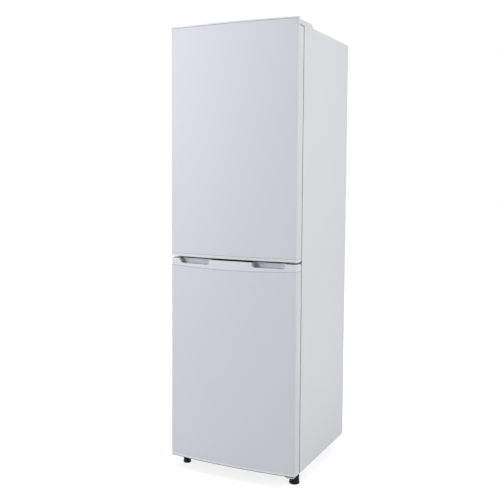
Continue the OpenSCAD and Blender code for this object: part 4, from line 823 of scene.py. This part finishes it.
def stand(x, y, z, turn=Matrix.Identity(4), spin=0.0):
    """A place for a part: millimetres from the cabinet's front face, then a turn, then a spin on its axis."""
    at = Vector((x * MM, FACE_Y + y * MM, z * MM))
    return Matrix.Translation(at) @ turn @ Matrix.Rotation(math.radians(spin), 4, "Z")


# Turns that point a part's top to the front, to the back and to the floor
FORWARD = Matrix.Rotation(math.pi / 2, 4, "X")
BACKWARD = Matrix.Rotation(-math.pi / 2, 4, "X")
DOWNWARD = Matrix.Rotation(math.pi, 4, "X")


def drive_hinge_screws():
    """Nine cross-head screws: three up through the top hinge, three in front, three from below."""
    low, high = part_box("hinge_screws")
    joints = frame["record"]["behaviour"]["joints"]
    pin = next(joint["pos_m"][0] for joint in joints if joint["name"] == "fridge_door_hinge") / MM
    head = 2
    screw = spun([
        (0, head), (2.7, head), (3.7, 1.65), (4.3, 1.0), (4.5, 0.3), (4.5, 0), (2.5, 0), (2.5, -14.4),
        (1.5, -16), (0, -16),
    ])
    press_cross(screw, head, arm=2.3, half=0.5, depth=1.1)
    above, below = high.z / MM - head, low.z / MM + head
    places = [stand(pin + x, y, above, spin=17 * y + x) for x, y in ((-40, 24), (-40, 50), (-12, 50))]
    places += [
        stand(pin + x, -2.5, GAP_MIDDLE + z, FORWARD, 23 * z + 11)
        for x, z in ((-40, 0), (-18, 6.3), (-18, -6.3))
    ]
    places += [stand(pin + x, y, below, DOWNWARD, 31 * y) for x, y in ((-33, 8), (-33, 36), (3, 36))]
    put_for("hinge_screws", gather(screw, places), ZINC_PLATE)


def drive_rear_screws():
    """Small screws through the wrap's rear flange, which hold the rear panel."""
    head = 1.5
    screw = spun([(0, head), (2.0, head), (2.9, 1.1), (3.3, 0.4), (3.3, 0.02), (0, 0.02)], steps=24)
    press_cross(screw, head, arm=1.7, half=0.4, depth=0.8)
    _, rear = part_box("cabinet_wrap")
    behind = (rear.y - FACE_Y) / MM
    across, lowest, pitch = 231, 300, 290
    places = [
        stand(side * across, behind, lowest + step * pitch, BACKWARD, 40 * step + 13 * side)
        for side in (-1, 1)
        for step in range(5)
    ]
    put(gather(screw, places), "rear_screws", ZINC_PLATE, "cabinet")


def tint_glass_edges(piece):
    """The green look of a pane's ground edge."""
    piece.data.materials.append(GLASS_EDGE)
    for face in piece.data.polygons:
        if abs(face.normal.z) < 0.6:
            face.material_index = 1


def flute_cover():
    """The lamp's cover with grooves pressed across its underside, to spread the light."""
    low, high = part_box("lamp_cover")
    shape = skin_of("lamp_cover")
    soften(shape, 0.5)
    pitch = (high.x - low.x) / 28
    margin = 5 * MM
    cuts = [low.x + pitch * step for step in range(2, 27)]
    ends = (low.y + margin, high.y - margin)
    planes = [((cut, 0, 0), (1, 0, 0)) for cut in cuts] + [((0, end, 0), (0, 1, 0)) for end in ends]
    for at, across in planes:
        cut_along(shape, shape.verts[:] + shape.edges[:] + shape.faces[:], at, across)
    grooves = [
        v
        for v in shape.verts
        if v.co.z < low.z + NEAR and ends[0] - NEAR < v.co.y < ends[1] + NEAR
        and any(abs(v.co.x - cut) < NEAR for cut in cuts[1:-1:2])
    ]
    bmesh.ops.translate(shape, vec=(0, 0, 0.8 * MM), verts=grooves)
    put_for("lamp_cover", shape, DIFFUSER_PLASTIC, smooth=15)


def mark_dial(piece):
    """Fills the dial's pointer groove, 0.8 mm deep, with the printing colour."""
    low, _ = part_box("temperature_dial")
    piece.data.materials.append(PRINT_GREY)
    for face in piece.data.polygons:
        if face.normal.y < -0.9 and abs(face.center.y - low.y - 0.8 * MM) < 0.1 * MM:
            face.material_index = 1


def number_mesh(number, thickness):
    """A number in type of 5.4 mm that lies flat with its middle at the origin."""
    curve = bpy.data.curves.new("number", "FONT")
    curve.body = str(number)
    curve.size = 5.4 * MM
    curve.align_x = "CENTER"
    curve.align_y = "CENTER"
    curve.extrude = thickness / 2 * MM
    carrier = bpy.data.objects.new("number", curve)
    mesh = bpy.data.meshes.new_from_object(carrier)
    bpy.data.objects.remove(carrier)
    bpy.data.curves.remove(curve)
    return mesh


def print_numbers():
    """The dial's numbers, printed on the housing: 4 is a tick above the dial."""
    dial_low, dial_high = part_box("temperature_dial")
    middle = (dial_low + dial_high) / 2 / MM
    housing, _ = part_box("control_housing")
    # The print reaches a hundredth of a millimetre into the housing
    thickness = 0.06
    front = (housing.y - FACE_Y) / MM + 0.01 - thickness / 2
    shape = bmesh.new()
    for number, across, up in (
        (1, -19.5, -11.6), (2, -22.5, 0), (3, -17.5, 13.2), (5, 17.5, 13.2), (6, 22.5, 0), (7, 19.5, -11.6),
    ):
        mesh = number_mesh(number, thickness)
        add_at(shape, mesh, stand(middle.x + across, front, middle.z + up, FORWARD))
        bpy.data.meshes.remove(mesh)
    tick_place = stand(middle.x, front - thickness / 2, middle.z + 17.9, FORWARD)
    tick_size = Matrix.Diagonal((0.6, 1.2, 1, 1))
    tick = bmesh.ops.create_grid(
        shape, x_segments=1, y_segments=2, size=0.5 * MM, matrix=tick_place @ tick_size
    )["verts"]
    faces = list({f for v in tick for f in v.link_faces})
    grown = bmesh.ops.extrude_face_region(shape, geom=faces)["geom"]
    bmesh.ops.translate(shape, vec=(0, thickness * MM, 0), verts=points_in(grown))
    bmesh.ops.recalc_face_normals(shape, faces=shape.faces)
    put(shape, "dial_numbers", PRINT_GREY, BODY_OF["control_housing"], smooth=30)


# Dressing the frame


# Finish, material slot, width of the rounded edges in millimetres, room beside them, nodes
PLAIN_REWORKS = [
    (CABINET_PAINT, "white_paint", 0.3, 0, "rear_panel"),
    (CAP_PLASTIC, "white_plastic", 0.5, 0, "rear_spacers"),
    (LINER_PLASTIC, "liner_plastic", 0.6, ROOM, "fridge_liner", "freezer_liner"),
    (RAIL_SHADE_PAINT, "white_paint", 0.2, 0, "divider_rail", "front_rail"),
    (SPANGLED_STEEL, "bare_steel", 0.2, 0, "base_plate"),
    (SPANGLED_STEEL, "bare_steel", 0.3, 0, "compressor_deck"),
    (ZINC_PLATE, "bare_steel", 0.3, 0, "top_hinge_bracket"),
    (HINGE_COVER_PLASTIC, "white_plastic", 0.25, 0, "top_hinge_cover"),
    (SHADED_ZINC, "bare_steel", 0.3, 0, "middle_hinge_bracket"),
    (ZINC_PLATE, "bare_steel", 0.3, 0, "bottom_hinge_bracket"),
    (BLACK_ENAMEL, "black_paint", 0.45, ROOM, "compressor"),
    (GROMMET_RUBBER, "black_plastic", 0.5, 0, "compressor_grommets"),
    (FOOT_PLASTIC, "black_plastic", 0.6, 0, "relay_cover"),
    (COPPER, "copper", 0, 0, "refrigerant_pipes"),
    (COPPER, "copper", 0.4, 0, "filter_drier"),
    (FOOT_PLASTIC, "black_plastic", 0.4, 0, "drip_tray"),
    (CAP_PLASTIC, "white_plastic", 0.2, 0, "drain_tube"),
    (FOOT_PLASTIC, "black_plastic", 0.4, 0, "mains_gland"),
    (CAP_PLASTIC, "white_plastic", 0.6, ROOM, "control_housing"),
    (CAP_PLASTIC, "white_plastic", 0.12, 0, "temperature_dial"),
    (SHELF_GLASS, "shelf_glass", 0.4, 0, "fridge_shelf_1", "fridge_shelf_2", "fridge_shelf_3"),
    (SHELF_GLASS, "shelf_glass", 0.4, 0, "crisper_cover", "freezer_shelf_1", "freezer_shelf_2"),
    (CAP_PLASTIC, "white_plastic", 0.25, 0, "shelf_trims"),
    (CLEAR_PLASTIC, "clear_plastic", 0.45, ROOM, "crisper"),
    (CLEAR_PLASTIC, "clear_plastic", 0.6, ROOM, "freezer_drawer_1", "freezer_drawer_2", "freezer_drawer_3"),
    (FOOT_PLASTIC, "black_plastic", 0.3, ROOM_FOR_TWO, "levelling_foot_left", "levelling_foot_right"),
    (FOOT_PLASTIC, "black_plastic", 0.3, 0, "rear_roller_left", "rear_roller_right"),
    (ZINC_PLATE, "bare_steel", 0.3, 0, "roller_axles"),
    (DOOR_LINER_PLASTIC, "liner_plastic", 0.4, 0, "fridge_door_liner"),
    (NYLON, "white_plastic", 0.2, 0, "fridge_door_bushes"),
    (DOOR_LINER_PLASTIC, "liner_plastic", 0.8, 0, "freezer_door_liner"),
    (NYLON, "white_plastic", 0.2, 0, "freezer_door_bushes"),
    (CLEAR_PLASTIC, "clear_plastic", 0.35, 0, "door_bin_upper", "door_bin_middle", "bottle_bin"),
    (CAP_PLASTIC, "white_plastic", 0.5, 0, "egg_tray"),
]


def rework(node, finish, slot, width, room):
    """The CAD piece with its edges rounded, under its own finish."""
    shape = skin_of(node)
    if width:
        soften(shape, width, room=room)
    piece = put_for(node, shape, finish)
    if slot == "shelf_glass":
        tint_glass_edges(piece)
    elif node == "temperature_dial":
        mark_dial(piece)
    elif node == "refrigerant_pipes":
        piece.data.set_sharp_from_angle(angle=math.radians(70))


def dress_frame():
    """Every piece of the fridge freezer in its finish."""
    for finish, slot, width, room, *nodes in PLAIN_REWORKS:
        for node in nodes:
            rework(node, finish, slot, width, room)
    fold_cabinet()
    weld_seal("fridge_door_gasket")
    weld_seal("freezer_door_gasket")
    drive_hinge_screws()
    drive_rear_screws()
    flute_cover()
    print_numbers()
    press_skin("fridge_door_skin")
    press_skin("freezer_door_skin")
    mould_caps()
    for node in ("insulation_foam", "fridge_door_foam", "freezer_door_foam"):
        mesh = frame["nodes"][node].data
        mesh.materials.clear()
        mesh.materials.append(FOAM)


bpy.context.scene.view_settings.view_transform = "Standard"
place_camera()
hang_backdrop()
lay_floor()
hang_softboxes()
dress_frame()
